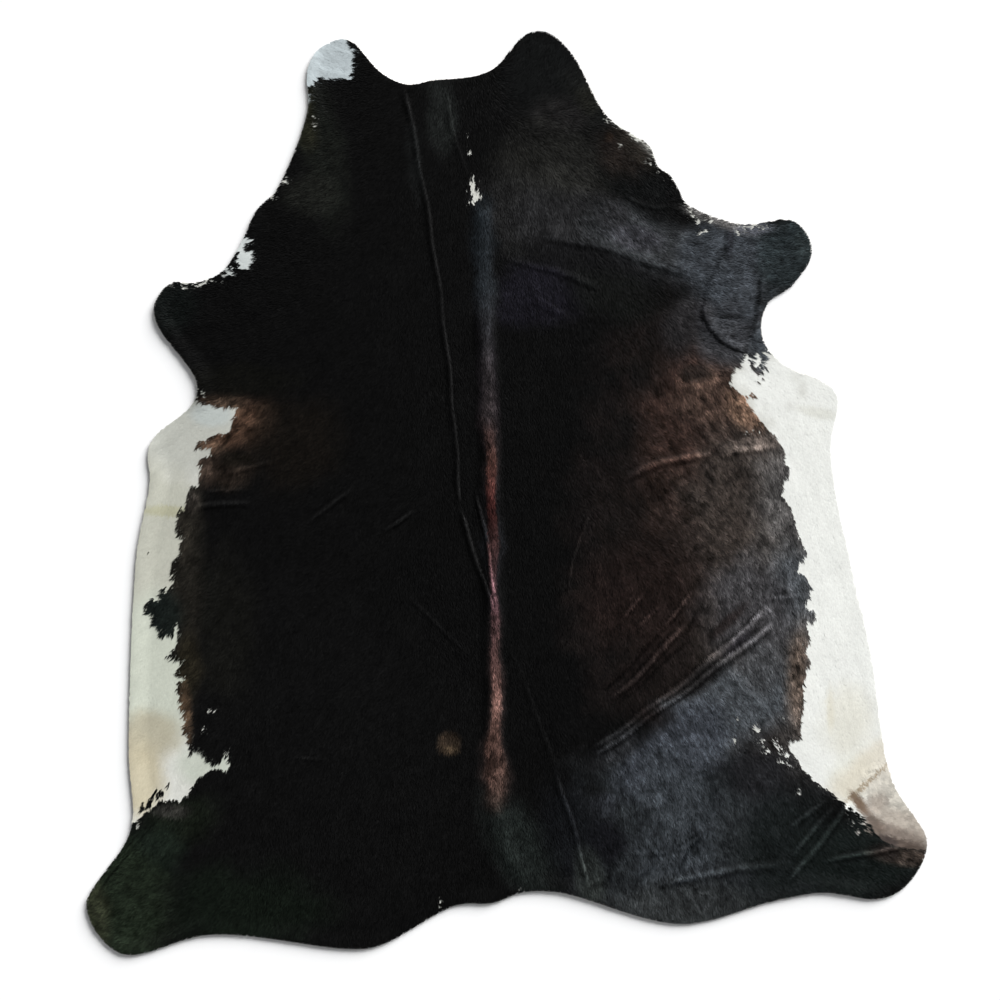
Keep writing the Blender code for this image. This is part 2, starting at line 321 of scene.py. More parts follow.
# %% The finer creases
CREASES = [Fold(*row) for row in [
    ("loin crease", (0.200, -0.040), (0.145, -0.255), -0.010, 0.010, 0.001),
    ("neck arc", (0.270, 0.715), (0.415, 0.690), -0.020, 0.010, 0.0006),
    ("foreleg crease", (0.527, 0.646), (0.524, 0.527), 0.002, 0.012, 0.0022, 0.6),
    ("armpit fold, outer", (0.610, 0.546), (0.575, 0.341), 0.008, 0.018, 0.0028, 0.7),
    ("left loin crease", (-0.245, -0.240), (-0.090, -0.385), 0.000, 0.010, 0.0006),
    ("left thigh crease", (-0.525, -0.625), (-0.410, -0.640), 0.000, 0.010, 0.001),
    ("left belly crease", (-0.735, 0.000), (-0.600, 0.010), 0.004, 0.009, 0.001),
    ("shoulder crease", (-0.080, 0.580), (0.235, 0.476), 0.006, 0.009, 0.0003),
    ("shoulder crease, lower", (0.045, 0.480), (0.150, 0.420), 0.002, 0.009, 0.001),
    ("spine crease", (-0.075, 0.010), (-0.025, -0.270), 0.004, 0.010, 0.002),
    ("loin groove", (0.215, -0.490), (0.425, -0.270), -0.004, 0.010, -0.003),
    ("loin groove, lower", (0.262, -0.510), (0.440, -0.345), 0.000, 0.010, -0.002),
    ("hip crease, 1", (0.262, -0.312), (0.335, -0.235), 0.002, 0.009, 0.002),
    ("hip crease, 2", (0.290, -0.330), (0.372, -0.262), -0.004, 0.009, 0.0015),
    ("hip crease, 3", (0.372, -0.330), (0.450, -0.225), 0.004, 0.009, 0.002),
    ("hip crease, 4", (0.405, -0.365), (0.446, -0.270), -0.010, 0.008, -0.002),
    ("hip crease, 5", (0.432, -0.250), (0.508, -0.120), 0.003, 0.009, -0.0015),
    ("hip groove", (0.470, -0.470), (0.655, -0.318), 0.006, 0.012, -0.0012),
    ("rump crease, long", (0.389, -0.861), (0.470, -0.806), 0.003, 0.007, -0.0014),
    ("rump crease, short", (0.308, -0.875), (0.355, -0.853), 0.000, 0.007, -0.0012),
    ("flank crease", (0.590, -0.262), (0.720, -0.244), 0.004, 0.012, 0.0006),
    ("thigh crease, inner", (0.790, -0.735), (0.668, -0.875), 0.000, 0.014, 0.0026),
    ("thigh crease, upper", (0.768, -0.724), (0.655, -0.815), 0.000, 0.013, 0.0018),
]]
print(len(CREASES), "finer creases")

# %% [markdown]
# The height of the skin over the floor is worked out once, on a square net of points 2 mm
# apart, and read from that net wherever it is needed. Only the part of the net near a fold's
# line is touched by that fold.

# %% The skin's height as a net
SKIN = 0.0024  # thickness of the skin without its hair
GROOVE_DEPTH = 0.0016  # the deepest that a groove is pressed into flat skin
NET_STEP = 0.002
NET_MARGIN = 0.030

net_low = np.array(cad_box[0][:2]) - NET_MARGIN
net_size = np.ceil((np.array(cad_box[1][:2]) + NET_MARGIN - net_low) / NET_STEP).astype(int) + 1


def net_spots(low, high):
    """The net's crossings from low up to high, by column and row."""
    xs, ys = (net_low[axis] + NET_STEP * np.arange(low[axis], high[axis]) for axis in (0, 1))
    return np.stack(np.meshgrid(xs, ys, indexing="ij"), axis=-1)


def read_net(net, points):
    """The net's value at each point, blended from the four crossings round it."""
    spot = (points - net_low) / NET_STEP
    cell = np.clip(np.floor(spot).astype(int), 0, net_size - 2)
    u, v = np.clip(spot - cell, 0.0, 1.0).T
    x, y = cell.T
    lower = net[x, y] * (1 - u) + net[x + 1, y] * u
    upper = net[x, y + 1] * (1 - u) + net[x + 1, y + 1] * u
    return lower * (1 - v) + upper * v


print("the net has", net_size, "crossings")

# %% Folds on the net


def centre_line(fold):
    """A fold's centre line: a shallow arc, 4t(1-t) times bow, that wavers by a sine."""
    start, end = np.array(fold.start), np.array(fold.end)
    length = math.hypot(*(end - start))
    left = np.array([start[1] - end[1], end[0] - start[0]]) / length
    part = np.linspace(0.0, 1.0, max(5, round(length / LINE_STEP) + 1))[:, None]
    waver = WAVER * np.sin(math.tau * part * length / WAVER_LENGTH + sum(fold.start) * PHASE)
    return start + part * (end - start) + (4.0 * part * (1.0 - part) * fold.bow + waver) * left


def nearest_on(line, points):
    """For each point, its distance to the line, how far along the line its foot lies, and 1 to the
    line's left or -1 to its right."""
    first, side = line[:-1], np.diff(line, axis=0)
    length = np.hypot(*side.T)
    run = np.concatenate([[0.0], np.cumsum(length)[:-1]])
    offset = points[:, None, :] - first[None, :, :]
    share = np.clip((offset * side).sum(axis=2) / length**2, 0.0, 1.0)
    away = np.hypot(*np.moveaxis(offset - share[:, :, None] * side, 2, 0))
    pick = away.argmin(axis=1)
    row = np.arange(len(points))
    left = side[pick, 0] * offset[row, pick, 1] - side[pick, 1] * offset[row, pick, 0]
    return away[row, pick], run[pick] + share[row, pick] * length[pick], np.where(left > 0.0, 1.0, -1.0)


def fold_height(fold, points):
    """A bell across the fold, (1 + cos) / 2 of the distance over its reach, times a rise at either
    end, times a slow swing along it. The reach is longer by lean on the left and shorter on the
    right."""
    line = centre_line(fold)
    away, along, left = nearest_on(line, points)
    length = np.hypot(*np.diff(line, axis=0).T).sum()
    reach = fold.reach * (1.0 + fold.lean * left)
    bell = 0.5 + 0.5 * np.cos(math.pi * np.clip(away / reach, 0.0, 1.0))
    bell = bell ** (NARROW_CREST if fold.reach < NARROW_REACH else 1.0)
    swing = 1.0 + UNEVEN * np.sin(math.tau * along / UNEVEN_LENGTH + sum(fold.end) * PHASE)
    return fold.height * bell * smooth(np.minimum(along, length - along) / FADE) * swing


def height_net(folds):
    """The sum of all folds' heights on the net. It is negative in a groove on flat skin."""
    net = np.zeros(net_size)
    for fold in folds:
        line = centre_line(fold)
        reach = fold.reach * (1.0 + abs(fold.lean))
        low = np.floor((line.min(axis=0) - reach - net_low) / NET_STEP).astype(int).clip(0)
        high = np.ceil((line.max(axis=0) + reach - net_low) / NET_STEP).astype(int) + 1
        high = np.minimum(high, net_size)
        spots = net_spots(low, high)
        raised = fold_height(fold, spots.reshape(-1, 2)).reshape(spots.shape[:2])
        net[low[0] : high[0], low[1] : high[1]] += raised
    return net


fold_net = height_net(FOLDS + CREASES)
print("folds and creases rise up to", round(fold_net.max() * 1000, 1), "mm")

# %% [markdown]
# A dry hide curls at its edge. This one stands off the floor along its left side and its rear,
# most of all at the left flank, and lies flat at the right and in front.

# %% The lift of the dry edge
EDGE_RISE = 0.0038  # how far the edge of the dry skin stands off the floor
EDGE_BAND = 0.050  # width of the band that rises
EDGE_SIDE = np.array([-0.75, -0.66])  # the way the edges face that rise: left and rear
EDGE_BASE = 0.35  # how much of the rise an edge has that faces across that way
EDGE_GAIN = 0.9  # what facing that way adds
LEFT_GAIN = 0.4  # how much more the left flank rises
LEFT_FROM, LEFT_SPAN = 0.75, 0.2  # an edge that faces left by this much gains, and fully at so much more
FLAT_CORNER = (0.35, -0.45)  # the edge lies flat to the right of this spot and before it
EDGE_UNEVEN = 0.35  # share by which the rise swells and sinks
EDGE_CLOUD = 0.15  # how far apart its swells are

edge_share = smooth(EDGE_BASE + EDGE_GAIN * rim_out @ EDGE_SIDE)
edge_share *= 1.0 + LEFT_GAIN * smooth((-rim_out[:, 0] - LEFT_FROM) / LEFT_SPAN)
edge_share[(rim[:, 0] > FLAT_CORNER[0]) & (rim[:, 1] > FLAT_CORNER[1])] = 0.0


def edge_net():
    """The edge's rise on the net: smooth from the band's inner side to the rim, more and less in
    clouds."""
    spots = net_spots((0, 0), net_size).reshape(-1, 2)
    away = spots - MIDDLE
    side = np.interp(np.arctan2(away[:, 1], away[:, 0]), rim_angle, edge_share, period=math.tau)
    band = smooth(1.0 - inside_by(spots) / EDGE_BAND)
    rise = EDGE_RISE * side * band * (1.0 + EDGE_UNEVEN * cloud(spots, EDGE_CLOUD, seed=30))
    return rise.reshape(net_size)


skin_net = fold_net + edge_net()
under_net = skin_net.clip(0.0)
top_net = skin_net.clip(-GROOVE_DEPTH) + SKIN
print("the hair side lies", round(top_net.min() * 1000, 1), "to", round(top_net.max() * 1000, 1), "mm high")

# %% Slopes and crests
slope_x_net, slope_y_net = np.gradient(skin_net, NET_STEP)


def curvature(net):
    """How sharply the net is crowned at each crossing: less than 0 in a hollow."""
    return -sum(np.gradient(np.gradient(net, NET_STEP, axis=axis), NET_STEP, axis=axis) for axis in (0, 1))


# A highlight is painted on the crests of the ridges and shade in every hollow of the skin, by the curvature
# in curve_net.
ridges = [fold for fold in FOLDS + CREASES if fold.height > 0.0 and fold.lean < STEP_LEAN]
curve_net = curvature(height_net(ridges)).clip(0.0) + curvature(skin_net).clip(None, 0.0)
steepest = np.hypot(slope_x_net, slope_y_net).max()
print("the skin's highest place:", round(skin_net.max() * 1000, 1), "mm, steepest:", round(steepest, 2))

# %% [markdown]
# ## The way the hair lies
#
# On a cow the hair runs down the spine toward the tail, outward and backward over the ribs, and
# down each leg. The rows give that direction at a few spots; between them it is a mean in which
# nearer spots count more.

# %% The lie of the hair
LIE = [
    (-0.38, 1.04, -0.6, 0.5), (0.09, 1.04, 0.3, 0.6), (-0.14, 0.97, -0.1, -1.0),
    (-0.05, 0.60, 0.0, -1.0), (-0.04, 0.20, 0.0, -1.0), (-0.03, -0.30, 0.0, -1.0),
    (0.00, -0.70, 0.0, -1.0), (-0.35, 0.85, -0.8, -0.5), (0.25, 0.80, 0.8, -0.5),
    (-0.30, 0.50, -0.5, -0.9), (0.25, 0.50, 0.5, -0.9), (-0.55, 0.55, -0.9, -0.2),
    (-0.78, 0.42, -1.0, 0.0), (0.50, 0.60, 0.9, -0.1), (0.66, 0.56, 1.0, 0.2),
    (-0.45, 0.05, -0.7, -0.7), (0.45, 0.05, 0.7, -0.7), (-0.76, 0.10, -0.7, -0.7),
    (0.68, 0.15, 0.6, -0.8), (-0.82, -0.10, -0.5, -0.85), (0.80, -0.10, 0.35, -0.9),
    (-0.84, -0.38, -0.6, -0.8), (0.80, -0.38, 0.35, -0.9),
    (-0.35, -0.50, -0.5, -0.85), (0.35, -0.50, 0.5, -0.85), (-0.75, -0.68, -0.45, -0.9),
    (0.70, -0.62, 0.45, -0.9), (-0.90, -0.95, -0.8, -0.6), (0.90, -0.86, 0.8, -0.5),
    (-0.35, -0.98, -0.3, -1.0), (0.35, -0.90, 0.3, -1.0),
]
LIE_RANGE = 0.17  # metres over which a spot counts
SWING = math.radians(16.0)  # how far the hair swings to either side, in clouds
SWING_SIZE = 0.12


def lie_of(points):
    """The direction of the hair: the sum of the rows' directions, each times exp(-(d / range)²), and
    then a turn by SWING times a cloud."""
    rows = np.array(LIE)
    total = np.zeros((len(points), 2))
    for x, y, along_x, along_y in rows:
        weight = np.exp(-((points[:, 0] - x) ** 2 + (points[:, 1] - y) ** 2) / LIE_RANGE**2)
        total += weight[:, None] * np.array([along_x, along_y]) / math.hypot(along_x, along_y)
    turn = SWING * clouds(points, SWING_SIZE, seed=40)
    across = np.column_stack([-total[:, 1], total[:, 0]])
    turned = total * np.cos(turn)[:, None] + across * np.sin(turn)[:, None]
    return turned / np.hypot(*turned.T)[:, None]


print("hair on the left ribs lies along", lie_of(np.array([[-0.6, 0.0]])).round(2))

# %% [markdown]
# ## The skin
#
# Tanned skin is a sheet of about 2.4 mm with a hair side, a suede side and a pale cut edge. It
# is laid out in triangles from above, small on the folds and larger where it is flat, and
# doubled: the underside follows the folds, and the hair side lies one thickness above it, or less
# where a groove is pressed into it.

# %% Lay out the skin in triangles
SKIN_INSET = 0.0025  # the hair reaches this far beyond the skin
RIM_STEP = 0.008
FINE_STEP = 0.007
COARSE_STEP = 0.014
FINE_ROOM, COARSE_ROOM = 0.5, 0.4  # how far such points keep from the edge, in steps
FLAT_SLOPE = 0.01  # skin steeper than this is laid out finely
ROW_STEP = 0.866  # rows of a staggered net lie this share of a step apart
INSIDE_ONLY = 1  # what delaunay_2d_cdt calls triangles within the outline
SAME_SPOT = 1e-6  # points nearer to each other than this are one


def staggered(step):
    """A staggered net of points over the whole hide, step apart."""
    low, high = np.array(cad_box)[:, :2]
    xs, ys = np.meshgrid(np.arange(low[0], high[0], step), np.arange(low[1], high[1], step * ROW_STEP))
    xs[1::2] += step / 2.0
    return np.column_stack([xs.ravel(), ys.ravel()])


def evenly(loop, step):
    """Points step apart along a closed line."""
    line = np.vstack([loop, loop[:1]])
    run = np.concatenate([[0.0], np.cumsum(np.hypot(*np.diff(line, axis=0).T))])
    stops = np.linspace(0.0, run[-1], round(run[-1] / step), endpoint=False)
    return np.column_stack([np.interp(stops, run, line[:, axis]) for axis in (0, 1)])


def slope_at(points):
    """The skin's slope at each point, along X and along Y."""
    return np.column_stack([read_net(slope_x_net, points), read_net(slope_y_net, points)])


def inner_points(step, room, steep):
    """The points of a staggered net that lie on steep skin, or on flat, and keep room for the edge."""
    points = staggered(step)
    is_steep = np.hypot(*slope_at(points).T) > FLAT_SLOPE
    return points[(is_steep == steep) & (inside_by(points) > SKIN_INSET + room * step)]


def skin_layout():
    """The skin's points, the rim's first, and the triangles between them, all counterclockwise."""
    edge = evenly(rim - SKIN_INSET * rim_out, RIM_STEP)
    fine = inner_points(FINE_STEP, FINE_ROOM, steep=True)
    coarse = inner_points(COARSE_STEP, COARSE_ROOM, steep=False)
    points = [Vector(spot) for spot in np.vstack([edge, fine, coarse])]
    order = list(range(len(edge)))
    sides = list(zip(order, order[1:] + order[:1]))
    corners, _, faces, *_ = delaunay_2d_cdt(points, sides, [order], INSIDE_ONLY, SAME_SPOT)
    corners, faces = np.array([tuple(c) for c in corners]), np.array(faces)
    a, b, c = (corners[faces[:, k]] for k in range(3))
    wrong = (b - a)[:, 0] * (c - a)[:, 1] < (b - a)[:, 1] * (c - a)[:, 0]
    faces[wrong] = faces[wrong][:, ::-1]
    return corners, faces, len(edge)


skin_points, skin_faces, edge_count = skin_layout()
print("the skin:", len(skin_points), "points,", len(skin_faces), "triangles a side,", edge_count, "sides")

# %% [markdown]
# ## Markings
#
# The coat is black, with white flanks whose borders break up into pointed tufts, because there
# the dark hair lies over the white. Toward the light at the upper right a painted sheen turns it
# slate on the right shoulder, foreleg and rump and lightens the right flank toward its edge,
# with reddish brown on the ribs; painted shade darkens it under the shoulder and by the hip's
# folds. Colours are written as a screen shows them, from 0 to 255, and made linear at the end.
# First come the soft patches, each an ellipse with a ragged edge, laid over each other in order.

# %% Soft patches on the dark coat
Patch = namedtuple("Patch", "name x y half_x half_y turn colour strength soft")
BLACK = (16.0, 16.0, 16.0)
DARK_PATCHES = [Patch(*row) for row in [
    ("left side, lower", -0.493, -0.637, 0.405, 0.453, 0, (18, 18, 18), 0.9, 0.6),
    # Painted sheen: the next four rows lighten the right side step by step toward its edge, reddish brown
    # over the ribs.
    ("right side", 0.496, -0.088, 0.322, 0.644, 0, (29, 25, 24), 1.0, 0.5),
    ("right ribs", 0.544, 0.138, 0.226, 0.286, 0, (57, 43, 38), 0.95, 0.8),
    ("right flank", 0.615, -0.160, 0.215, 0.429, 0, (60, 54, 50), 0.95, 0.8),
    ("flank in the light", 0.710, -0.184, 0.124, 0.429, 0, (92, 90, 89), 0.95, 1.0),
    ("loin, reddish", 0.341, -0.231, 0.143, 0.143, 0, (36, 28, 26), 0.7, 0.9),
    # Painted sheen: the slate and grey rows of the rump, down to its lower edge.
    ("rump", 0.436, -0.803, 0.267, 0.250, 0, (42, 45, 47), 0.95, 0.5),
    ("rump, upper", 0.551, -0.493, 0.148, 0.100, 35, (73, 77, 81), 0.95, 0.8),
    ("rump, slate", 0.393, -0.617, 0.143, 0.081, 35, (68, 72, 79), 0.9, 0.8),
    ("rump, middle", 0.408, -0.799, 0.105, 0.172, 0, (59, 63, 67), 0.85, 0.9),
    ("rump, brown shade", 0.584, -0.665, 0.076, 0.057, 0, (35, 35, 37), 0.85, 0.9),
    ("rump, grey", 0.551, -0.832, 0.057, 0.105, 0, (49, 52, 54), 0.8, 0.9),
    ("rump, dark spot", 0.231, -0.822, 0.048, 0.057, 0, (21, 21, 24), 0.85, 0.9),
    ("rump, grey spot", 0.229, -0.737, 0.033, 0.029, 0, (44, 46, 50), 0.8, 0.9),
    ("rump, lower edge", 0.436, -0.982, 0.167, 0.060, 0, (50, 52, 52), 0.7, 0.9),
    # Painted shade: the next five rows are darker lines in the creases of the rump.
    ("rump crease, upper", 0.448, -0.827, 0.024, 0.004, 43, (30, 33, 36), 0.9, 0.8),
    ("rump crease, lower", 0.421, -0.863, 0.026, 0.004, 62, (32, 35, 38), 0.85, 0.8),
    ("rump crease, middle", 0.362, -0.856, 0.017, 0.004, 12, (32, 35, 38), 0.8, 0.8),
    ("rump crease, left", 0.329, -0.896, 0.019, 0.004, 28, (32, 35, 38), 0.8, 0.8),
    ("rump crease, foot", 0.422, -0.918, 0.029, 0.004, 15, (32, 35, 38), 0.8, 0.8),
    ("right thigh", 0.679, -0.851, 0.124, 0.138, 0, (28, 31, 31), 0.95, 0.8),
    ("right thigh, outer", 0.842, -0.851, 0.143, 0.107, 0, (26, 30, 29), 0.95, 0.6),
    ("hoof, brown", 0.949, -0.863, 0.072, 0.021, -5, (72, 63, 57), 0.95, 1.0),
    ("hoof, brown, outer", 0.899, -0.853, 0.029, 0.017, -20, (44, 39, 37), 0.8, 1.0),
    ("beside the tail", 0.141, -0.803, 0.072, 0.107, 0, (20, 21, 23), 0.8, 1.0),
    ("tail root", 0.029, -0.832, 0.057, 0.119, 25, (35, 40, 38), 0.8, 1.1),
    ("tail root, right", 0.198, -0.911, 0.033, 0.067, 10, (48, 52, 50), 0.8, 0.9),
    ("right ear", 0.098, 1.008, 0.110, 0.100, 0, (20, 21, 21), 0.9, 0.6),
    ("right ear, outer", 0.198, 0.937, 0.052, 0.083, 25, (29, 30, 29), 0.8, 0.9),
    ("neck, upper", 0.122, 0.894, 0.067, 0.043, 0, (37, 36, 36), 0.85, 0.9),
    ("neck, olive", 0.188, 0.932, 0.031, 0.033, 20, (31, 31, 27), 0.7, 0.9),
    # Painted sheen: the next four rows, on the lit neck, the withers and the shoulder's front.
    ("neck, lit", 0.107, 0.775, 0.124, 0.110, 0, (33, 33, 31), 0.95, 0.8),
    ("neck, brightest", 0.110, 0.727, 0.072, 0.057, 0, (40, 40, 38), 0.8, 0.9),
    ("withers", 0.012, 0.670, 0.095, 0.091, 0, (38, 38, 38), 0.85, 0.9),
    ("shoulder front", 0.150, 0.656, 0.157, 0.062, -8, (39, 39, 40), 0.9, 0.8),
    ("shoulder fold shade", 0.067, 0.479, 0.114, 0.072, 0, (28, 27, 33), 0.9, 0.8),
    ("neck behind the edge", 0.312, 0.734, 0.091, 0.048, -40, (19, 20, 20), 0.9, 0.8),
    ("neck, brown edge", 0.274, 0.818, 0.072, 0.057, -45, (37, 32, 29), 0.9, 0.8),
    ("neck, rust spot", 0.234, 0.851, 0.010, 0.014, 0, (52, 40, 32), 0.6, 1.0),
    # Painted sheen: the shoulder in the light, its bluish band and the spot behind the neck.
    ("shoulder in the light", 0.353, 0.584, 0.157, 0.072, -20, (56, 58, 60), 0.95, 0.7),
    ("shoulder, bluish", 0.303, 0.613, 0.062, 0.029, -15, (66, 66, 71), 0.9, 0.9),
    ("shoulder behind the neck", 0.250, 0.665, 0.033, 0.029, 0, (50, 50, 52), 0.75, 0.9),
    # Painted shade: the next two rows darken the coat under the shoulder's swells.
    ("under the shoulder", 0.222, 0.546, 0.172, 0.031, -17, (25, 25, 26), 0.85, 0.9),
    ("under the shoulder, low", 0.250, 0.479, 0.107, 0.057, -17, (22, 23, 22), 0.85, 0.9),
    # Painted sheen: the slate and grey rows of the foreleg; its outer shade and its hollow, along the foreleg
    # crease, are painted shade.
    ("foreleg", 0.520, 0.503, 0.114, 0.157, 0, (62, 66, 71), 0.95, 0.7),
    ("foreleg, lit", 0.479, 0.584, 0.067, 0.067, 0, (66, 70, 75), 0.85, 0.9),
    ("foreleg, outer shade", 0.603, 0.489, 0.017, 0.048, 0, (34, 36, 38), 0.85, 0.9),
    ("foreleg, inside the arc", 0.517, 0.408, 0.038, 0.057, 0, (64, 66, 70), 0.8, 0.9),
    ("foreleg, end", 0.658, 0.567, 0.064, 0.086, 0, (41, 47, 49), 0.95, 0.7),
    ("foreleg, tip", 0.713, 0.603, 0.029, 0.052, 0, (52, 59, 60), 0.9, 0.8),
    ("foreleg, hollow", 0.524, 0.598, 0.007, 0.038, 0, (44, 45, 50), 0.8, 1.0),
    ("speckled edge", 0.489, 0.653, 0.081, 0.017, -20, (132, 129, 127), 0.85, 1.0),
    ("speckled edge, outer", 0.584, 0.629, 0.048, 0.012, 5, (90, 92, 99), 0.8, 1.0),
    ("armpit", 0.417, 0.408, 0.052, 0.081, -20, (41, 40, 41), 0.9, 0.9),
    # Painted sheen: the slate rows beside the arc and in the armpit, and its lit rim.
    ("foreleg, beside the arc", 0.462, 0.422, 0.019, 0.038, 0, (58, 58, 61), 0.7, 0.9),
    ("armpit, slate", 0.524, 0.353, 0.067, 0.052, 0, (60, 61, 64), 0.85, 0.9),
    ("armpit, rim", 0.606, 0.353, 0.031, 0.057, 0, (70, 75, 80), 0.9, 0.9),
    ("elbow, brown", 0.493, 0.236, 0.081, 0.062, 0, (82, 66, 58), 0.9, 0.9),
    ("elbow in the light", 0.567, 0.203, 0.057, 0.036, -45, (130, 104, 87), 0.9, 1.1),
    ("flank, frosted", 0.584, 0.124, 0.072, 0.019, 5, (104, 94, 88), 0.85, 1.0),
    ("elbow, hollow", 0.443, 0.293, 0.033, 0.019, 0, (32, 28, 26), 0.8, 0.9),
    ("neck edge", 0.317, 0.842, 0.081, 0.017, -48, (122, 121, 116), 0.85, 1.0),
    ("neck behind the light edge", 0.296, 0.820, 0.072, 0.017, -48, (40, 37, 33), 0.8, 1.0),
    ("left ribs", -0.656, 0.174, 0.100, 0.060, 0, (68, 51, 41), 0.95, 0.9),
    ("left ribs, under the foreleg", -0.641, 0.274, 0.148, 0.036, 0, (18, 18, 16), 0.9, 0.8),
    ("left ribs, tufts, upper", -0.656, 0.203, 0.033, 0.014, 0, (96, 76, 62), 0.7, 1.1),
    ("left ribs, tufts", -0.708, 0.110, 0.036, 0.021, 0, (100, 80, 66), 0.8, 1.1),
    ("left ribs, fringe", -0.675, 0.217, 0.052, 0.014, 0, (62, 52, 44), 0.85, 1.0),
    ("left ribs, inner", -0.498, 0.122, 0.110, 0.105, 0, (24, 21, 18), 0.75, 0.9),
    ("left ribs, lower", -0.670, 0.060, 0.072, 0.043, 0, (42, 35, 30), 0.8, 0.9),
    ("left ribs, fringe, middle", -0.715, 0.064, 0.029, 0.036, 0, (74, 62, 54), 0.85, 1.0),
    ("left ribs, dark band", -0.637, 0.086, 0.043, 0.017, 0, (23, 21, 18), 0.8, 0.9),
    ("left flank", -0.672, -0.303, 0.072, 0.167, 0, (23, 23, 21), 0.9, 0.9),
    ("left flank edge", -0.760, -0.160, 0.043, 0.310, 0, (36, 34, 30), 0.8, 1.0),
    ("left belly fringe", -0.746, -0.017, 0.019, 0.024, 0, (54, 50, 46), 0.8, 1.0),
    ("left belly fringe, lower", -0.763, -0.112, 0.019, 0.052, 0, (45, 42, 37), 0.75, 1.0),
    ("left olive edge", -0.756, -0.403, 0.031, 0.081, 0, (38, 35, 27), 0.8, 0.9),
    ("left rust edge", -0.765, -0.527, 0.019, 0.081, 0, (76, 61, 48), 0.85, 0.9),
    ("left black lobe", -0.815, -0.291, 0.048, 0.057, 0, (26, 31, 29), 0.85, 0.9),
    ("left thigh", -0.637, -0.982, 0.191, 0.095, 0, (21, 26, 21), 0.9, 0.9),
    ("left thigh, upper", -0.780, -0.780, 0.095, 0.060, 20, (24, 28, 22), 0.9, 0.9),
    ("left thigh, frosted", -0.796, -0.751, 0.043, 0.019, 0, (56, 54, 52), 0.75, 1.0),
    ("left hind leg, root", -0.827, -0.846, 0.067, 0.067, 0, (29, 36, 30), 0.9, 0.9),
    ("left hind leg", -0.899, -0.970, 0.107, 0.148, 15, (33, 40, 31), 0.95, 0.7),
    ("left hind leg, end", -0.982, -0.982, 0.038, 0.095, 10, (46, 49, 37), 0.9, 0.9),
    # Painted sheen, faint, over the left neck's grey-green, in the next two rows.
    ("left neck", -0.434, 0.818, 0.052, 0.179, 10, (27, 29, 26), 0.85, 0.9),
    ("left neck, lower", -0.458, 0.722, 0.062, 0.048, 20, (33, 34, 31), 0.8, 0.9),
    ("left neck edge", -0.479, 0.913, 0.029, 0.083, 10, (40, 40, 30), 0.8, 0.9),
    # Painted sheen: a lighter stripe down the nape.
    ("nape", -0.153, 0.901, 0.033, 0.083, 4, (30, 32, 31), 0.9, 0.9),
    ("nape, left", -0.217, 0.794, 0.019, 0.095, 4, (23, 24, 24), 0.8, 0.9),
    ("left foreleg", -0.791, 0.441, 0.062, 0.062, 0, (19, 22, 21), 0.8, 0.9),
    ("brown spot", -0.138, -0.591, 0.031, 0.029, 0, (48, 40, 33), 0.95, 0.5),
    ("brown spot, light side", -0.131, -0.606, 0.019, 0.012, 0, (72, 61, 48), 0.6, 1.0),
    ("right tan edge", 0.691, -0.417, 0.029, 0.129, 0, (102, 88, 78), 0.85, 1.1),
    # Painted sheen in the slate rows of the hip, the hip in the light, the foot of its folds and the part
    # right of them; painted shade in the rows under, above and between its folds.
    ("right slate edge", 0.675, -0.219, 0.062, 0.107, 0, (72, 76, 80), 0.85, 0.9),
    ("hip in the light", 0.575, -0.279, 0.110, 0.129, 0, (68, 67, 69), 0.9, 0.9),
    ("hip, foot of the folds", 0.265, -0.594, 0.076, 0.031, 35, (46, 47, 49), 0.85, 1.0),
    ("hip, under the folds", 0.458, -0.432, 0.057, 0.026, 38, (26, 25, 25), 0.85, 1.0),
    ("hip, right of the folds", 0.598, -0.403, 0.062, 0.062, 0, (76, 77, 79), 0.8, 0.9),
    ("hip, above the fold", 0.519, -0.303, 0.058, 0.014, 42, (36, 30, 29), 0.75, 0.9),
    ("hip, between the folds", 0.548, -0.350, 0.046, 0.010, 40, (44, 42, 46), 0.7, 0.9),
]]
print(len(DARK_PATCHES), "soft patches on the dark coat")

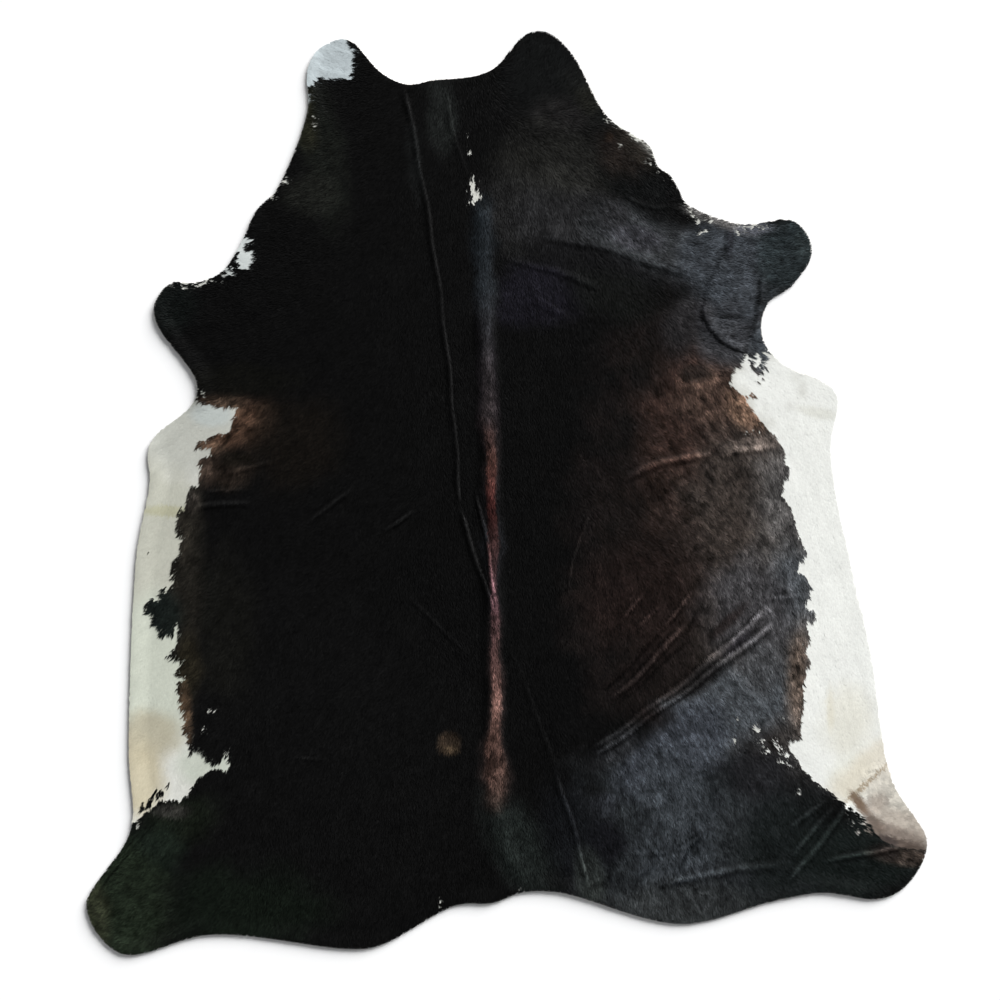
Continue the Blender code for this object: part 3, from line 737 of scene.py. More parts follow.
# %% Patches on the white coat
WHITE = (205.0, 205.0, 198.0)
WHITE_PATCHES = [Patch(*row) for row in [
    ("right flank", 0.861, -0.250, 0.329, 0.901, 0, (231, 232, 227), 1.0, 0.3),
    ("right flank, lower", 0.806, -0.541, 0.060, 0.090, 0, (220, 218, 206), 0.8, 0.9),
    ("right flank, yellow streak", 0.768, -0.513, 0.010, 0.057, 0, (219, 214, 196), 0.6, 1.2),
    ("right flank, foot", 0.818, -0.672, 0.050, 0.060, 0, (224, 224, 213), 0.8, 0.9),
    ("hind leg, cream", 0.846, -0.656, 0.100, 0.036, 42, (216, 208, 190), 0.75, 1.1),
    ("left flank, top", -0.780, 0.160, 0.129, 0.119, 0, (178, 179, 171), 1.0, 0.6),
    ("left flank, blue", -0.701, 0.193, 0.048, 0.026, 0, (178, 184, 181), 0.9, 0.8),
    ("left flank, middle", -0.851, -0.160, 0.129, 0.250, 0, (179, 179, 167), 1.0, 0.6),
    ("left flank, lower", -0.851, -0.420, 0.129, 0.179, 0, (188, 192, 179), 1.0, 0.6),
    ("left flank, beige", -0.851, -0.577, 0.072, 0.072, 0, (169, 163, 143), 0.9, 0.8),
    ("left flank, foot", -0.868, -0.672, 0.062, 0.095, 0, (184, 175, 150), 0.9, 0.8),
    ("left flank, tongue", -0.720, -0.648, 0.076, 0.048, 0, (184, 189, 177), 0.9, 0.8),
    ("left ear", -0.420, 1.039, 0.119, 0.119, 0, (178, 187, 190), 1.0, 0.3),
    ("left shoulder", -0.622, 0.565, 0.072, 0.072, 0, (200, 206, 205), 0.9, 0.6),
    # A faint grey line across the white of the right flank.
    ("faint grey line", 0.734, 0.198, 0.057, 0.014, -12, (212, 212, 203), 0.7, 0.9),
    ("olive band", -0.808, -0.036, 0.057, 0.012, 0, (168, 166, 140), 0.8, 0.9),
    ("hind leg", 0.944, -0.744, 0.091, 0.114, 35, (200, 195, 184), 1.0, 0.6),
    # Painted shade: a darker line along the hind leg's fold.
    ("hind leg, fold line", 0.851, -0.687, 0.072, 0.004, 42, (158, 142, 120), 0.8, 1.0),
    ("hind leg, dusk", 0.930, -0.784, 0.086, 0.029, -10, (170, 160, 149), 0.8, 0.9),
    ("hind leg, dusk, lower", 0.923, -0.818, 0.086, 0.024, -14, (126, 114, 105), 0.85, 0.9),
    ("hind leg, shade beside the fold", 0.837, -0.741, 0.035, 0.012, -56, (104, 84, 67), 0.9, 0.9),
    ("hind leg, shade by the border", 0.868, -0.782, 0.031, 0.014, -48, (112, 99, 90), 0.85, 1.0),
    ("hind leg, tan streak", 0.870, -0.739, 0.021, 0.029, -56, (158, 145, 134), 0.6, 1.1),
    ("hind leg, shade below", 0.935, -0.844, 0.086, 0.021, -8, (82, 71, 64), 0.95, 0.9),
    ("hind leg, shade in the corner", 0.899, -0.830, 0.026, 0.017, -20, (68, 60, 57), 0.8, 0.9),
    ("hind leg, lower edge", 0.942, -0.858, 0.086, 0.010, -6, (66, 58, 53), 0.9, 0.9),
]]
print(len(WHITE_PATCHES), "patches on the white coat")

# %% [markdown]
# The borders of the white were read off the photograph, stretch by stretch. Each closes outside
# the rim. A lock is white where the spot at which it shows most lies inside one of these
# outlines. That spot is first pushed back along the way the hair lies by a streaky amount, which
# draws the border out into tufts.

# %% Borders of the white
LEFT_FLANK = {
    "beyond the armpit": [(-1.066, 0.293), (-0.768, 0.257)],
    "top, under the foreleg": [(-0.746, 0.236), (-0.734, 0.219), (-0.720, 0.207), (-0.703, 0.205),
        (-0.689, 0.207), (-0.672, 0.203), (-0.656, 0.200), (-0.641, 0.205)],
    "bay": [(-0.648, 0.191), (-0.646, 0.179), (-0.656, 0.169), (-0.658, 0.153), (-0.665, 0.138)],
    "brown tongue": [(-0.679, 0.141), (-0.699, 0.138), (-0.710, 0.129), (-0.718, 0.119), (-0.727, 0.124),
        (-0.739, 0.117), (-0.741, 0.105), (-0.725, 0.103), (-0.710, 0.103)],
    "ribs": [(-0.706, 0.091), (-0.720, 0.083), (-0.734, 0.076), (-0.737, 0.064), (-0.732, 0.050),
        (-0.732, 0.036), (-0.734, 0.017), (-0.751, 0.014), (-0.760, 0.002), (-0.763, -0.017),
        (-0.765, -0.036)],
    "belly": [(-0.770, -0.048), (-0.780, -0.038), (-0.784, -0.050), (-0.787, -0.069), (-0.789, -0.088),
        (-0.784, -0.105), (-0.775, -0.107), (-0.780, -0.124), (-0.777, -0.141), (-0.789, -0.157)],
    "flank": [(-0.799, -0.172), (-0.803, -0.195), (-0.799, -0.219), (-0.808, -0.236), (-0.825, -0.229),
        (-0.827, -0.250)],
    "black lobe": [(-0.834, -0.262), (-0.851, -0.255), (-0.863, -0.269), (-0.861, -0.288),
        (-0.846, -0.298), (-0.851, -0.312), (-0.839, -0.324), (-0.834, -0.341), (-0.825, -0.350),
        (-0.811, -0.341)],
    "notch": [(-0.799, -0.346), (-0.794, -0.322), (-0.787, -0.308), (-0.784, -0.331), (-0.789, -0.360),
        (-0.791, -0.374)],
    "rust": [(-0.811, -0.391), (-0.791, -0.403), (-0.772, -0.405), (-0.782, -0.417), (-0.784, -0.436),
        (-0.770, -0.453), (-0.789, -0.460), (-0.791, -0.474), (-0.780, -0.486), (-0.787, -0.503)],
    "rust, lower": [(-0.775, -0.522), (-0.770, -0.541), (-0.770, -0.572), (-0.760, -0.594),
        (-0.760, -0.615), (-0.753, -0.629), (-0.749, -0.613)],
    "white tongue, upper": [(-0.737, -0.617), (-0.725, -0.627), (-0.713, -0.646), (-0.699, -0.651),
        (-0.682, -0.641), (-0.675, -0.622), (-0.665, -0.627)],
    "white tongue, lower": [(-0.660, -0.651), (-0.668, -0.665), (-0.696, -0.663), (-0.720, -0.670),
        (-0.737, -0.684), (-0.751, -0.703), (-0.760, -0.725)],
    "thigh": [(-0.780, -0.732), (-0.803, -0.730), (-0.820, -0.739), (-0.842, -0.746), (-0.861, -0.760),
        (-0.875, -0.775), (-0.892, -0.789)],
    "beyond the thigh": [(-1.066, -0.875)],
}
RIGHT_FLANK = {
    "beyond the armpit": [(1.104, 0.412), (0.675, 0.377)],
    "top": [(0.622, 0.341), (0.596, 0.336), (0.579, 0.331), (0.567, 0.324), (0.560, 0.305), (0.546, 0.291),
        (0.536, 0.279), (0.529, 0.260)],
    "elbow": [(0.541, 0.248), (0.558, 0.236), (0.570, 0.226), (0.575, 0.210), (0.586, 0.195),
        (0.598, 0.181), (0.610, 0.162), (0.625, 0.150), (0.641, 0.134)],
    "ribs": [(0.646, 0.124), (0.658, 0.107), (0.660, 0.088), (0.658, 0.072), (0.670, 0.064),
        (0.672, 0.045), (0.665, 0.029), (0.658, 0.007), (0.656, -0.017)],
    "belly": [(0.675, -0.036), (0.682, -0.055), (0.687, -0.076), (0.694, -0.100), (0.703, -0.124),
        (0.713, -0.141), (0.710, -0.160), (0.696, -0.174), (0.694, -0.191)],
    "flank": [(0.713, -0.203), (0.722, -0.222), (0.725, -0.243), (0.715, -0.260), (0.708, -0.269),
        (0.718, -0.277), (0.732, -0.284), (0.737, -0.300), (0.727, -0.312), (0.708, -0.310)],
    "tan edge": [(0.718, -0.327), (0.720, -0.350), (0.713, -0.370), (0.708, -0.381), (0.720, -0.391),
        (0.725, -0.410), (0.713, -0.424), (0.710, -0.446), (0.706, -0.470), (0.708, -0.505),
        (0.703, -0.532), (0.699, -0.560)],
    "white tongue": [(0.701, -0.584), (0.689, -0.591), (0.677, -0.598), (0.670, -0.606), (0.675, -0.617),
        (0.687, -0.629), (0.699, -0.644)],
    "thigh": [(0.706, -0.665), (0.725, -0.679), (0.741, -0.696), (0.760, -0.708), (0.777, -0.715),
        (0.789, -0.732), (0.806, -0.739)],
    "hind leg": [(0.818, -0.746), (0.832, -0.760), (0.846, -0.772), (0.861, -0.787), (0.870, -0.803),
        (0.880, -0.815), (0.901, -0.830), (0.927, -0.842), (0.961, -0.851)],
    "beyond the hind leg": [(0.999, -0.853), (1.104, -0.851)],
}
LEFT_EAR = {
    "tufts": [(-0.500, 0.960), (-0.473, 0.965), (-0.455, 0.978), (-0.440, 0.993), (-0.430, 0.983)],
    "middle": [(-0.408, 0.988), (-0.388, 0.985), (-0.375, 0.980), (-0.370, 1.000), (-0.365, 1.028)],
    "tip": [(-0.367, 1.055), (-0.385, 1.085), (-0.390, 1.150), (-0.600, 1.150), (-0.600, 0.950)],
}
LEFT_SHOULDER = {
    "patch": [(-0.672, 0.622), (-0.627, 0.608), (-0.615, 0.608), (-0.608, 0.601), (-0.606, 0.589),
        (-0.610, 0.579), (-0.606, 0.567), (-0.603, 0.555), (-0.610, 0.544), (-0.615, 0.532),
        (-0.629, 0.534), (-0.639, 0.544), (-0.648, 0.551), (-0.641, 0.560), (-0.641, 0.570),
        (-0.651, 0.572), (-0.660, 0.563), (-0.696, 0.579)],
}
WHITE_AREAS = [LEFT_FLANK, RIGHT_FLANK, LEFT_EAR, LEFT_SHOULDER]
white_outlines = [np.array([spot for stretch in area.values() for spot in stretch]) for area in WHITE_AREAS]
print("white areas:", [len(outline) for outline in white_outlines], "corners")

# %% [markdown]
# Small marks lie beyond those borders: turned ellipses in which a share of the roots is white, or
# is dark within the white. They are listed by the part of the hide.

# %% Small marks
Mark = namedtuple("Mark", "x y half_x half_y turn share")
WHITE_MARKS = {
    "nape": [(-0.081, 0.737, 0.0095, 0.0215, -4, 1.0), (-0.076, 0.706, 0.0105, 0.0191, 10, 1.0),
        (-0.095, 0.851, 0.0036, 0.0048, 0, 0.9), (-0.091, 0.811, 0.0060, 0.0048, 0, 0.9)],
    "left shoulder": [(-0.663, 0.529, 0.0215, 0.0107, -10, 0.9), (-0.620, 0.534, 0.0062, 0.0052, 0, 1.0),
        (-0.632, 0.539, 0.0060, 0.0043, 0, 0.6)],
    "left foreleg": [(-0.679, 0.501, 0.0038, 0.0052, 0, 0.9), (-0.713, 0.505, 0.0143, 0.0048, 10, 0.9),
        (-0.737, 0.498, 0.0119, 0.0057, 0, 0.8), (-0.770, 0.496, 0.0143, 0.0057, 0, 0.8),
        (-0.801, 0.496, 0.0095, 0.0048, 0, 0.6)],
    "left neck": [(-0.532, 0.746, 0.0143, 0.0119, 20, 0.7), (-0.558, 0.715, 0.0083, 0.0167, 10, 0.6)],
    "left ear": [(-0.470, 0.942, 0.0072, 0.0119, 10, 0.6), (-0.458, 0.882, 0.0060, 0.0095, 0, 0.6),
        (-0.462, 0.896, 0.0036, 0.0048, 0, 0.6)],
    "right foreleg": [(0.436, 0.672, 0.0052, 0.0143, 20, 0.8), (0.453, 0.648, 0.0038, 0.0072, 0, 1.0),
        (0.486, 0.648, 0.0076, 0.0038, 30, 1.0), (0.472, 0.653, 0.0036, 0.0052, 0, 0.6),
        (0.467, 0.622, 0.0095, 0.0031, 5, 1.0), (0.544, 0.625, 0.0062, 0.0031, 10, 0.9),
        (0.548, 0.615, 0.0060, 0.0038, 0, 0.9), (0.565, 0.629, 0.0038, 0.0062, 20, 0.9),
        (0.584, 0.632, 0.0131, 0.0043, 30, 1.0), (0.608, 0.632, 0.0072, 0.0048, 20, 0.8),
        (0.620, 0.639, 0.0048, 0.0048, 0, 0.7), (0.544, 0.644, 0.0334, 0.0036, -15, 0.35)],
    "right neck": [(0.358, 0.770, 0.0060, 0.0107, 30, 0.8), (0.341, 0.787, 0.0052, 0.0119, 40, 0.6),
        (0.310, 0.849, 0.0501, 0.0095, -42, 0.7), (0.346, 0.815, 0.0238, 0.0086, -65, 0.75),
        (0.269, 0.825, 0.0038, 0.0052, 0, 0.8), (0.241, 0.887, 0.0095, 0.0072, -40, 0.5),
        (0.265, 0.873, 0.0238, 0.0083, -38, 0.6), (0.377, 0.744, 0.0060, 0.0031, -20, 0.5)],
    "right thigh": [(0.551, -0.539, 0.0036, 0.0036, -60, 0.8), (0.594, -0.560, 0.0083, 0.0043, -45, 1.0),
        (0.544, -0.591, 0.0043, 0.0060, -60, 1.0), (0.610, -0.589, 0.0052, 0.0072, -60, 1.0),
        (0.608, -0.603, 0.0060, 0.0048, -40, 1.0), (0.622, -0.615, 0.0119, 0.0052, -25, 1.0),
        (0.648, -0.606, 0.0143, 0.0072, -30, 0.9), (0.641, -0.591, 0.0060, 0.0060, 0, 0.7),
        (0.660, -0.620, 0.0095, 0.0052, -30, 0.9), (0.658, -0.544, 0.0033, 0.0060, -10, 0.9),
        (0.656, -0.641, 0.0119, 0.0043, -20, 0.95), (0.675, -0.651, 0.0072, 0.0036, -40, 0.8),
        (0.687, -0.629, 0.0072, 0.0048, -50, 0.8), (0.696, -0.713, 0.0033, 0.0076, -10, 0.9),
        (0.668, -0.629, 0.0048, 0.0048, 0, 0.7)],
    "right flank": [(0.565, 0.141, 0.0036, 0.0072, -40, 0.6), (0.584, 0.145, 0.0036, 0.0083, -40, 0.6),
        (0.603, 0.148, 0.0038, 0.0072, -40, 0.6)],
    "rust-coloured edge": [(-0.706, -0.515, 0.0072, 0.0062, 0, 0.3),
        (-0.725, -0.565, 0.0038, 0.0072, 0, 0.7), (-0.782, -0.503, 0.0072, 0.0119, 0, 0.5)],
    "left thigh": [(-0.880, -0.796, 0.0031, 0.0095, -20, 0.8)],
    "left armpit": [(-0.722, 0.231, 0.0038, 0.0095, 30, 0.8), (-0.732, 0.243, 0.0033, 0.0060, 30, 0.7)],
    "right hind leg": [(0.820, -0.758, 0.0143, 0.0062, -50, 0.9),
        (0.846, -0.784, 0.0167, 0.0067, -45, 0.8), (0.863, -0.803, 0.0143, 0.0057, -45, 0.7),
        (0.837, -0.806, 0.0038, 0.0095, 0, 0.8), (0.825, -0.789, 0.0038, 0.0072, 0, 0.6),
        (0.856, -0.822, 0.0038, 0.0072, 0, 0.6)],
    "tail": [(-0.157, -0.975, 0.0048, 0.0072, 0, 0.7), (0.029, -0.946, 0.0060, 0.0072, 0, 0.7)],
}
DARK_MARKS = {
    "left shoulder": [(-0.617, 0.589, 0.0076, 0.0095, 0, 1.0)],
    "right elbow": [(0.589, 0.327, 0.0072, 0.0203, -8, 1.0), (0.606, 0.343, 0.0072, 0.0191, -8, 1.0),
        (0.610, 0.300, 0.0107, 0.0226, -5, 1.0), (0.625, 0.341, 0.0072, 0.0179, -20, 1.0),
        (0.577, 0.339, 0.0052, 0.0107, 0, 1.0), (0.584, 0.229, 0.0095, 0.0083, 0, 0.9)],
    "left flank": [(-0.856, -0.143, 0.0031, 0.0031, 0, 1.0), (-0.820, -0.246, 0.0036, 0.0048, 0, 0.9)],
    "left tongue": [(-0.703, -0.629, 0.0107, 0.0091, 0, 1.0), (-0.725, -0.608, 0.0048, 0.0072, 0, 0.8),
        (-0.670, -0.629, 0.0072, 0.0095, -20, 0.5)],
    "left thigh": [(-0.851, -0.737, 0.0043, 0.0107, -25, 1.0), (-0.830, -0.725, 0.0043, 0.0119, -30, 1.0),
        (-0.806, -0.701, 0.0038, 0.0052, -20, 0.9), (-0.839, -0.713, 0.0031, 0.0048, -20, 0.9),
        (-0.818, -0.739, 0.0043, 0.0083, -25, 0.9), (-0.868, -0.751, 0.0036, 0.0072, -25, 0.8)],
}
white_marks, dark_marks = (
    [Mark(*row) for rows in marks.values() for row in rows] for marks in (WHITE_MARKS, DARK_MARKS)
)
print(len(white_marks), "white and", len(dark_marks), "dark marks")

# %% [markdown]
# A stripe runs down the spine, a narrow core over a wider glow. Their tones and half widths are
# read between the stops.

# %% The stripe down the spine
Stop = namedtuple("Stop", "y core core_half glow glow_half")
SPINE_STOPS = [Stop(*row) for row in [
    (-0.80, (28, 32, 30), 0.030, (22, 24, 23), 0.042),
    (-0.67, (78, 60, 54), 0.024, (36, 31, 30), 0.036),
    (-0.58, (80, 60, 54), 0.018, (37, 32, 31), 0.028),
    (-0.47, (96, 72, 66), 0.011, (42, 34, 33), 0.019),
    (-0.24, (70, 51, 54), 0.010, (27, 25, 26), 0.018),
    (-0.11, (46, 32, 31), 0.011, (28, 29, 31), 0.026),
    (-0.02, (60, 33, 31), 0.009, (24, 23, 24), 0.020),
    (0.10, (66, 46, 41), 0.011, (32, 27, 27), 0.019),
    (0.20, (55, 49, 50), 0.014, (33, 29, 31), 0.024),
    (0.38, (43, 42, 44), 0.012, (29, 28, 30), 0.024),
    (0.48, (34, 37, 40), 0.020, (25, 27, 29), 0.030),
    (0.70, (30, 34, 37), 0.020, (25, 27, 29), 0.030),
]]
STRIPE_X = -0.04  # the stripe runs along this x,
STRIPE_ROOM = 0.12  # and lies within this of it
STRIPE_REAR, STRIPE_FRONT = -0.82, 0.76  # its ends
STRIPE_FADE = 0.1  # length over which an end appears
STRIPE_SHARE = 0.9  # how much of the coat's own colour it takes the place of
SHIFT, SHIFT_SIZE = 0.02, 0.05  # how far its tones stray along it, in clouds of this size
SWELL, SWELL_SIZE = 0.25, 0.06  # share by which its width swells and shrinks
STRIPE_EDGE, STRIPE_FALL = 1.4, 0.8  # where it ends, and how softly, in half widths

spine_line = centre_line(FOLDS[0])
print(len(SPINE_STOPS), "stops along the stripe")

# %% [markdown]
# Every hair colour has a grain: clouds, and streaks along the hair. Each row adds its share of
# one of them. Three spots have more than that: the left ear is combed, the right hind leg is
# freckled, and the rump gets painted shade in a fine network of creases.

# %% Grain of the colours
Grain = namedtuple("Grain", "share size length seed layers")  # one with a length is streaks
DARK_GRAIN = [
    Grain(0.17, 0.030, 0.0, 80, 3),
    Grain(0.20, 0.011, 0.0, 81, 2),
    Grain(0.12, 0.008, 0.050, 82, 1),
]
WHITE_GRAIN = [Grain(0.012, 0.050, 0.0, 83, 3), Grain(0.012, 0.010, 0.060, 84, 1)]
COMBED_GRAIN = [Grain(0.06, 0.005, 0.040, 88, 1)]
FRECKLED_GRAIN = [Grain(0.10, 0.009, 0.0, 85, 2), Grain(0.05, 0.030, 0.0, 86, 3)]
COMBED = next(patch for patch in WHITE_PATCHES if patch.name == "left ear")
FRECKLED = next(patch for patch in WHITE_PATCHES if patch.name == "hind leg")
# The rump's fine creases are painted as darker lines: painted shade.
CREASED_RUMP = Patch("painted shade in the creases of the rump", 0.38, -0.87, 0.17, 0.09, 15, BLACK, 1.0, 1.0)
print(len(DARK_GRAIN), "rows of grain on dark hair,", len(WHITE_GRAIN), "on white")

# %% [markdown]
# With all of that each root is painted. Patches are laid first, then the outlines and marks say
# which roots are white, and then stripe and grain finish both kinds of hair.

# %% Lay the patches
RAGGED, RAGGED_SIZE = 0.22, 0.070  # share of its size by which a patch's edge strays, and in what clouds


def turned_share(points, mark):
    """How far out each point lies in a turned ellipse: 0 at its middle and 1 on its edge."""
    turn = math.radians(mark.turn)
    away = points - np.array([mark.x, mark.y])
    along = away[:, 0] * math.cos(turn) + away[:, 1] * math.sin(turn)
    across = away[:, 1] * math.cos(turn) - away[:, 0] * math.sin(turn)
    return np.hypot(along / mark.half_x, across / mark.half_y)


def within(points, mark, end, fall):
    """1 well inside a turned ellipse and 0 beyond end, evenly falling over the last part of it."""
    return smooth((end - turned_share(points, mark)) / fall)


def lay_patches(colour, points, patches):
    """Each patch in turn pulls the colour toward its own, by its strength times an even fall
    across its ragged edge."""
    ragged = RAGGED * clouds(points, RAGGED_SIZE, seed=50)
    for patch in patches:
        out = turned_share(points, patch) + ragged
        share = patch.strength * smooth((1.0 + patch.soft / 2.0 - out) / patch.soft)
        colour = colour + share[:, None] * (np.array(patch.colour) - colour)
    return colour


test_spots = np.array([[-0.3, 0.3], [0.45, -0.6], [0.9, -0.2]])
print("patches at the left shoulder, rump and right flank:")
print(lay_patches(np.tile(BLACK, (3, 1)), test_spots, DARK_PATCHES).round())

# %% Which roots are white


def inside(points, outline):
    """Which points lie within an outline: those with an odd number of its sides to their right."""
    odd = np.zeros(len(points), dtype=bool)
    for (x0, y0), (x1, y1) in zip(outline, np.roll(outline, -1, axis=0)):
        if y0 == y1:
            continue
        straddles = (y0 > points[:, 1]) != (y1 > points[:, 1])
        odd ^= straddles & (points[:, 0] < x0 + (points[:, 1] - y0) / (y1 - y0) * (x1 - x0))
    return odd


TUFT = 0.005  # how far a tuft of dark hair reaches over the border
TUFT_SIZE, TUFT_LENGTH = 0.006, 0.030
WISP_SHARE = 0.5  # finer tufts within them reach this share as far
WISP_SIZE, WISP_LENGTH = 0.0035, 0.018
MARK_RAGGED = 0.5  # how far a mark's edge strays, as a share of its size
MARK_SIZE, MARK_LENGTH = 0.005, 0.012
OVERHANG = 0.008  # how far from its root a lock shows most
SPECK = 0.6  # length of the hair in small white marks, against the rest


def is_white(points, lie, chance):
    """Which roots are white: those whose locks show inside a white outline, after a streaky push
    back along the hair, or in a small white mark, and not in a dark one. chance is a random
    number for each root. The roots in white marks come second: their hair is shorter."""
    shown = points + OVERHANG * lie
    wisps = WISP_SHARE * streaks(points, lie, WISP_SIZE, WISP_LENGTH, seed=61)
    push = TUFT * (streaks(points, lie, TUFT_SIZE, TUFT_LENGTH, seed=60) + wisps)
    pushed = shown - lie * push[:, None]
    white = np.zeros(len(points), dtype=bool)
    for outline in white_outlines:
        white |= inside(pushed, outline)
    ragged = MARK_RAGGED * streaks(points, lie, MARK_SIZE, MARK_LENGTH, seed=62)
    speck = np.zeros(len(points), dtype=bool)
    shown_speck = points + SPECK * OVERHANG * lie
    for mark in white_marks:
        speck |= (turned_share(shown_speck, mark) + ragged < 1.0) & (chance < mark.share)
    white |= speck
    for mark in dark_marks:
        white &= ~((turned_share(shown, mark) + ragged < 1.0) & (chance < mark.share))
    return white, speck & white


print("white at the same spots:", is_white(test_spots, lie_of(test_spots), np.full(3, 0.5))[0])

# %% The colour of each kind of hair


def lay_spine(colour, points):
    """The stripe down the spine: the glow and then the core, each pulling the colour toward its own
    tone by an even fall across its edge."""
    near = np.abs(points[:, 0] - STRIPE_X) < STRIPE_ROOM
    away, *_ = nearest_on(spine_line, points[near])
    y = points[near][:, 1] + SHIFT * clouds(points[near], SHIFT_SIZE, seed=70)
    width = 1.0 + SWELL * clouds(points[near], SWELL_SIZE, seed=71)
    ends = smooth((STRIPE_FRONT - y) / STRIPE_FADE) * smooth((y - STRIPE_REAR) / STRIPE_FADE)
    columns = np.array([(*stop.core, stop.core_half, *stop.glow, stop.glow_half) for stop in SPINE_STOPS]).T
    at = [stop.y for stop in SPINE_STOPS]
    mix = np.stack([np.interp(y, at, column) for column in columns], axis=1)
    stripe = colour[near]
    for tone, half in ((mix[:, 4:7], mix[:, 7]), (mix[:, :3], mix[:, 3])):
        share = STRIPE_SHARE * ends * smooth((STRIPE_EDGE * half * width - away) / (STRIPE_FALL * half))
        stripe = stripe + share[:, None] * (tone - stripe)
    colour = colour.copy()
    colour[near] = stripe
    return colour


def grained(points, lie, rows):
    """The sum of the rows of grain: each is its share of clouds, or of streaks if it has a length."""
    total = np.zeros(len(points))
    for row in rows:
        if row.length:
            total += row.share * streaks(points, lie, row.size, row.length, row.seed)
        else:
            total += row.share * clouds(points, row.size, row.seed, row.layers)
    return total


LIT_SPAN = 30.0  # hair this much lighter than black counts as lit
BROWN_SPAN = 25.0  # hair with this much more red than blue counts as brown
BLACK_MOTTLE, LIT_MOTTLE, BROWN_MOTTLE = 0.3, 0.7, 0.6  # how much of the grain each of them shows
CREASE_WIDTH, CREASE_SIZE = 0.16, 0.018  # how far from 0 a cloud still lies on a crease line, and the cloud's size
CREASE_SHADE = 0.35  # painted shade: how much darker the crease lines are


def dark_coat(points, lie):
    """The colour of dark hair: patches and stripe on black, some patches painted sheen and painted
    shade, times 1 plus the grain, which shows the more the lighter or browner the hair is, and times
    1 less the painted shade of the rump's fine creases, which lie where a cloud passes through 0."""
    colour = lay_patches(np.tile(BLACK, (len(points), 1)), points, DARK_PATCHES)
    colour = lay_spine(colour, points)
    lit = np.clip((colour.mean(axis=1) - BLACK[0]) / LIT_SPAN, 0.0, 1.0)
    brown = np.clip((colour[:, 0] - colour[:, 2]) / BROWN_SPAN, 0.0, 1.0)
    mottle = BLACK_MOTTLE + LIT_MOTTLE * lit + BROWN_MOTTLE * brown
    colour *= (1.0 + mottle * grained(points, lie, DARK_GRAIN))[:, None]
    # Painted shade in a fine network of creases on the rump.
    crease_lines = smooth((CREASE_WIDTH - np.abs(clouds(points, CREASE_SIZE, seed=87, layers=2))) / CREASE_WIDTH)
    return colour * (1.0 - CREASE_SHADE * crease_lines * within(points, CREASED_RUMP, end=1.3, fall=0.5))[:, None]


def white_coat(points, lie):
    """The colour of white hair: its patches, times 1 plus the grain everywhere, on the combed ear
    and on the freckled leg."""
    colour = lay_patches(np.tile(WHITE, (len(points), 1)), points, WHITE_PATCHES)
    colour *= (1.0 + grained(points, lie, WHITE_GRAIN))[:, None]
    for spot, end, fall, rows in ((COMBED, 1.2, 0.2, COMBED_GRAIN), (FRECKLED, 1.3, 0.3, FRECKLED_GRAIN)):
        colour *= (1.0 + within(points, spot, end, fall) * grained(points, lie, rows))[:, None]
    return colour


ROOT_TONES = (2.0, 250.0)  # the darkest and the lightest that a root gets, as screen values


def coat_colour(points, lie, chance):
    """The colour of the hair at each root, 0 to 255, whether it is white hair, and whether it is
    in a small white mark."""
    white, speck = is_white(points, lie, chance)
    colour = np.where(white[:, None], white_coat(points, lie), dark_coat(points, lie))
    return colour.clip(*ROOT_TONES), white, speck


print("colours at the same spots:")
print(coat_colour(test_spots, lie_of(test_spots), np.full(3, 0.5))[0].round())

# %% From screen values to light
LIT = 1.08  # how bright a white surface lying flat comes out under this light
GLOSS = 0.0030  # what the hair's gloss adds everywhere
REFLECTS = (0.0006, 0.93)  # the least and the most light that hair sends back


def linear(colour):
    """The share of light that hair must send back to show as a screen value from 0 to 255: the
    value's own light, by the curve of screens, less what gloss adds, over what white sends back."""
    share = np.asarray(colour) / 255.0
    light = np.where(share <= 0.04045, share / 12.92, ((share + 0.055) / 1.055) ** 2.4)
    return ((light - GLOSS) / LIT).clip(*REFLECTS)


print("screen values 16, 128 and 240 send back", linear([16.0, 128.0, 240.0]).round(3), "of the light")

# %% [markdown]
# ## The hair
#
# A coat of real hair has millions of fibres, far too many, so each piece of geometry here is a
# lock: a narrow blade with a root, a middle and a pointed tip, as wide as a few dozen fibres. The
# locks root on a jittered net and lie over each other like feathers. They are made as whole
# arrays, five corners and two faces each, in five bands so that no piece grows too heavy.

# %% Where the locks root
ROOT_STEP = 0.0036
ROOT_JITTER = 0.45  # share of a step by which a root strays
ROOT_INSET = 0.001  # roots keep this far inside the rim
draw = np.random.default_rng(11)

roots = staggered(ROOT_STEP)
roots = roots + draw.uniform(-ROOT_JITTER, ROOT_JITTER, roots.shape) * ROOT_STEP
roots = roots[inside_by(roots) > ROOT_INSET]
count = len(roots)
lie = lie_of(roots)
chance = draw.random(count)
hair_colour, hair_white, hair_speck = coat_colour(roots, lie, chance)
print(count, "locks,", round(100.0 * hair_white.mean(), 1), "% of them white")

# %% Shape of the locks
LOCK_LENGTH = 0.0145
LOCK_WIDTH = np.where(hair_speck, 0.0034, np.where(hair_white, 0.0044, 0.0026))
SIZE_SPREAD = 0.25  # share by which lengths and widths vary
MIDDLE_AT = 0.45  # share of the length
STRAY = math.radians(9.0)  # how far single locks turn from the lie
CLUMP, CLUMP_SIZE = math.radians(8.0), 0.010  # how far neighbours turn together, in clouds of this size
BEND = math.radians(7.0)  # how far a tip turns from its root
TRIM_BEYOND = 0.0012  # hair is trimmed at most this far outside the rim,
TRIM_LEAST = 0.3  # and at least by this share of it
STUB = 0.15  # trimming leaves at least this share of a lock
NEARLY_NOTHING = 1e-6  # the least that a length is divided by

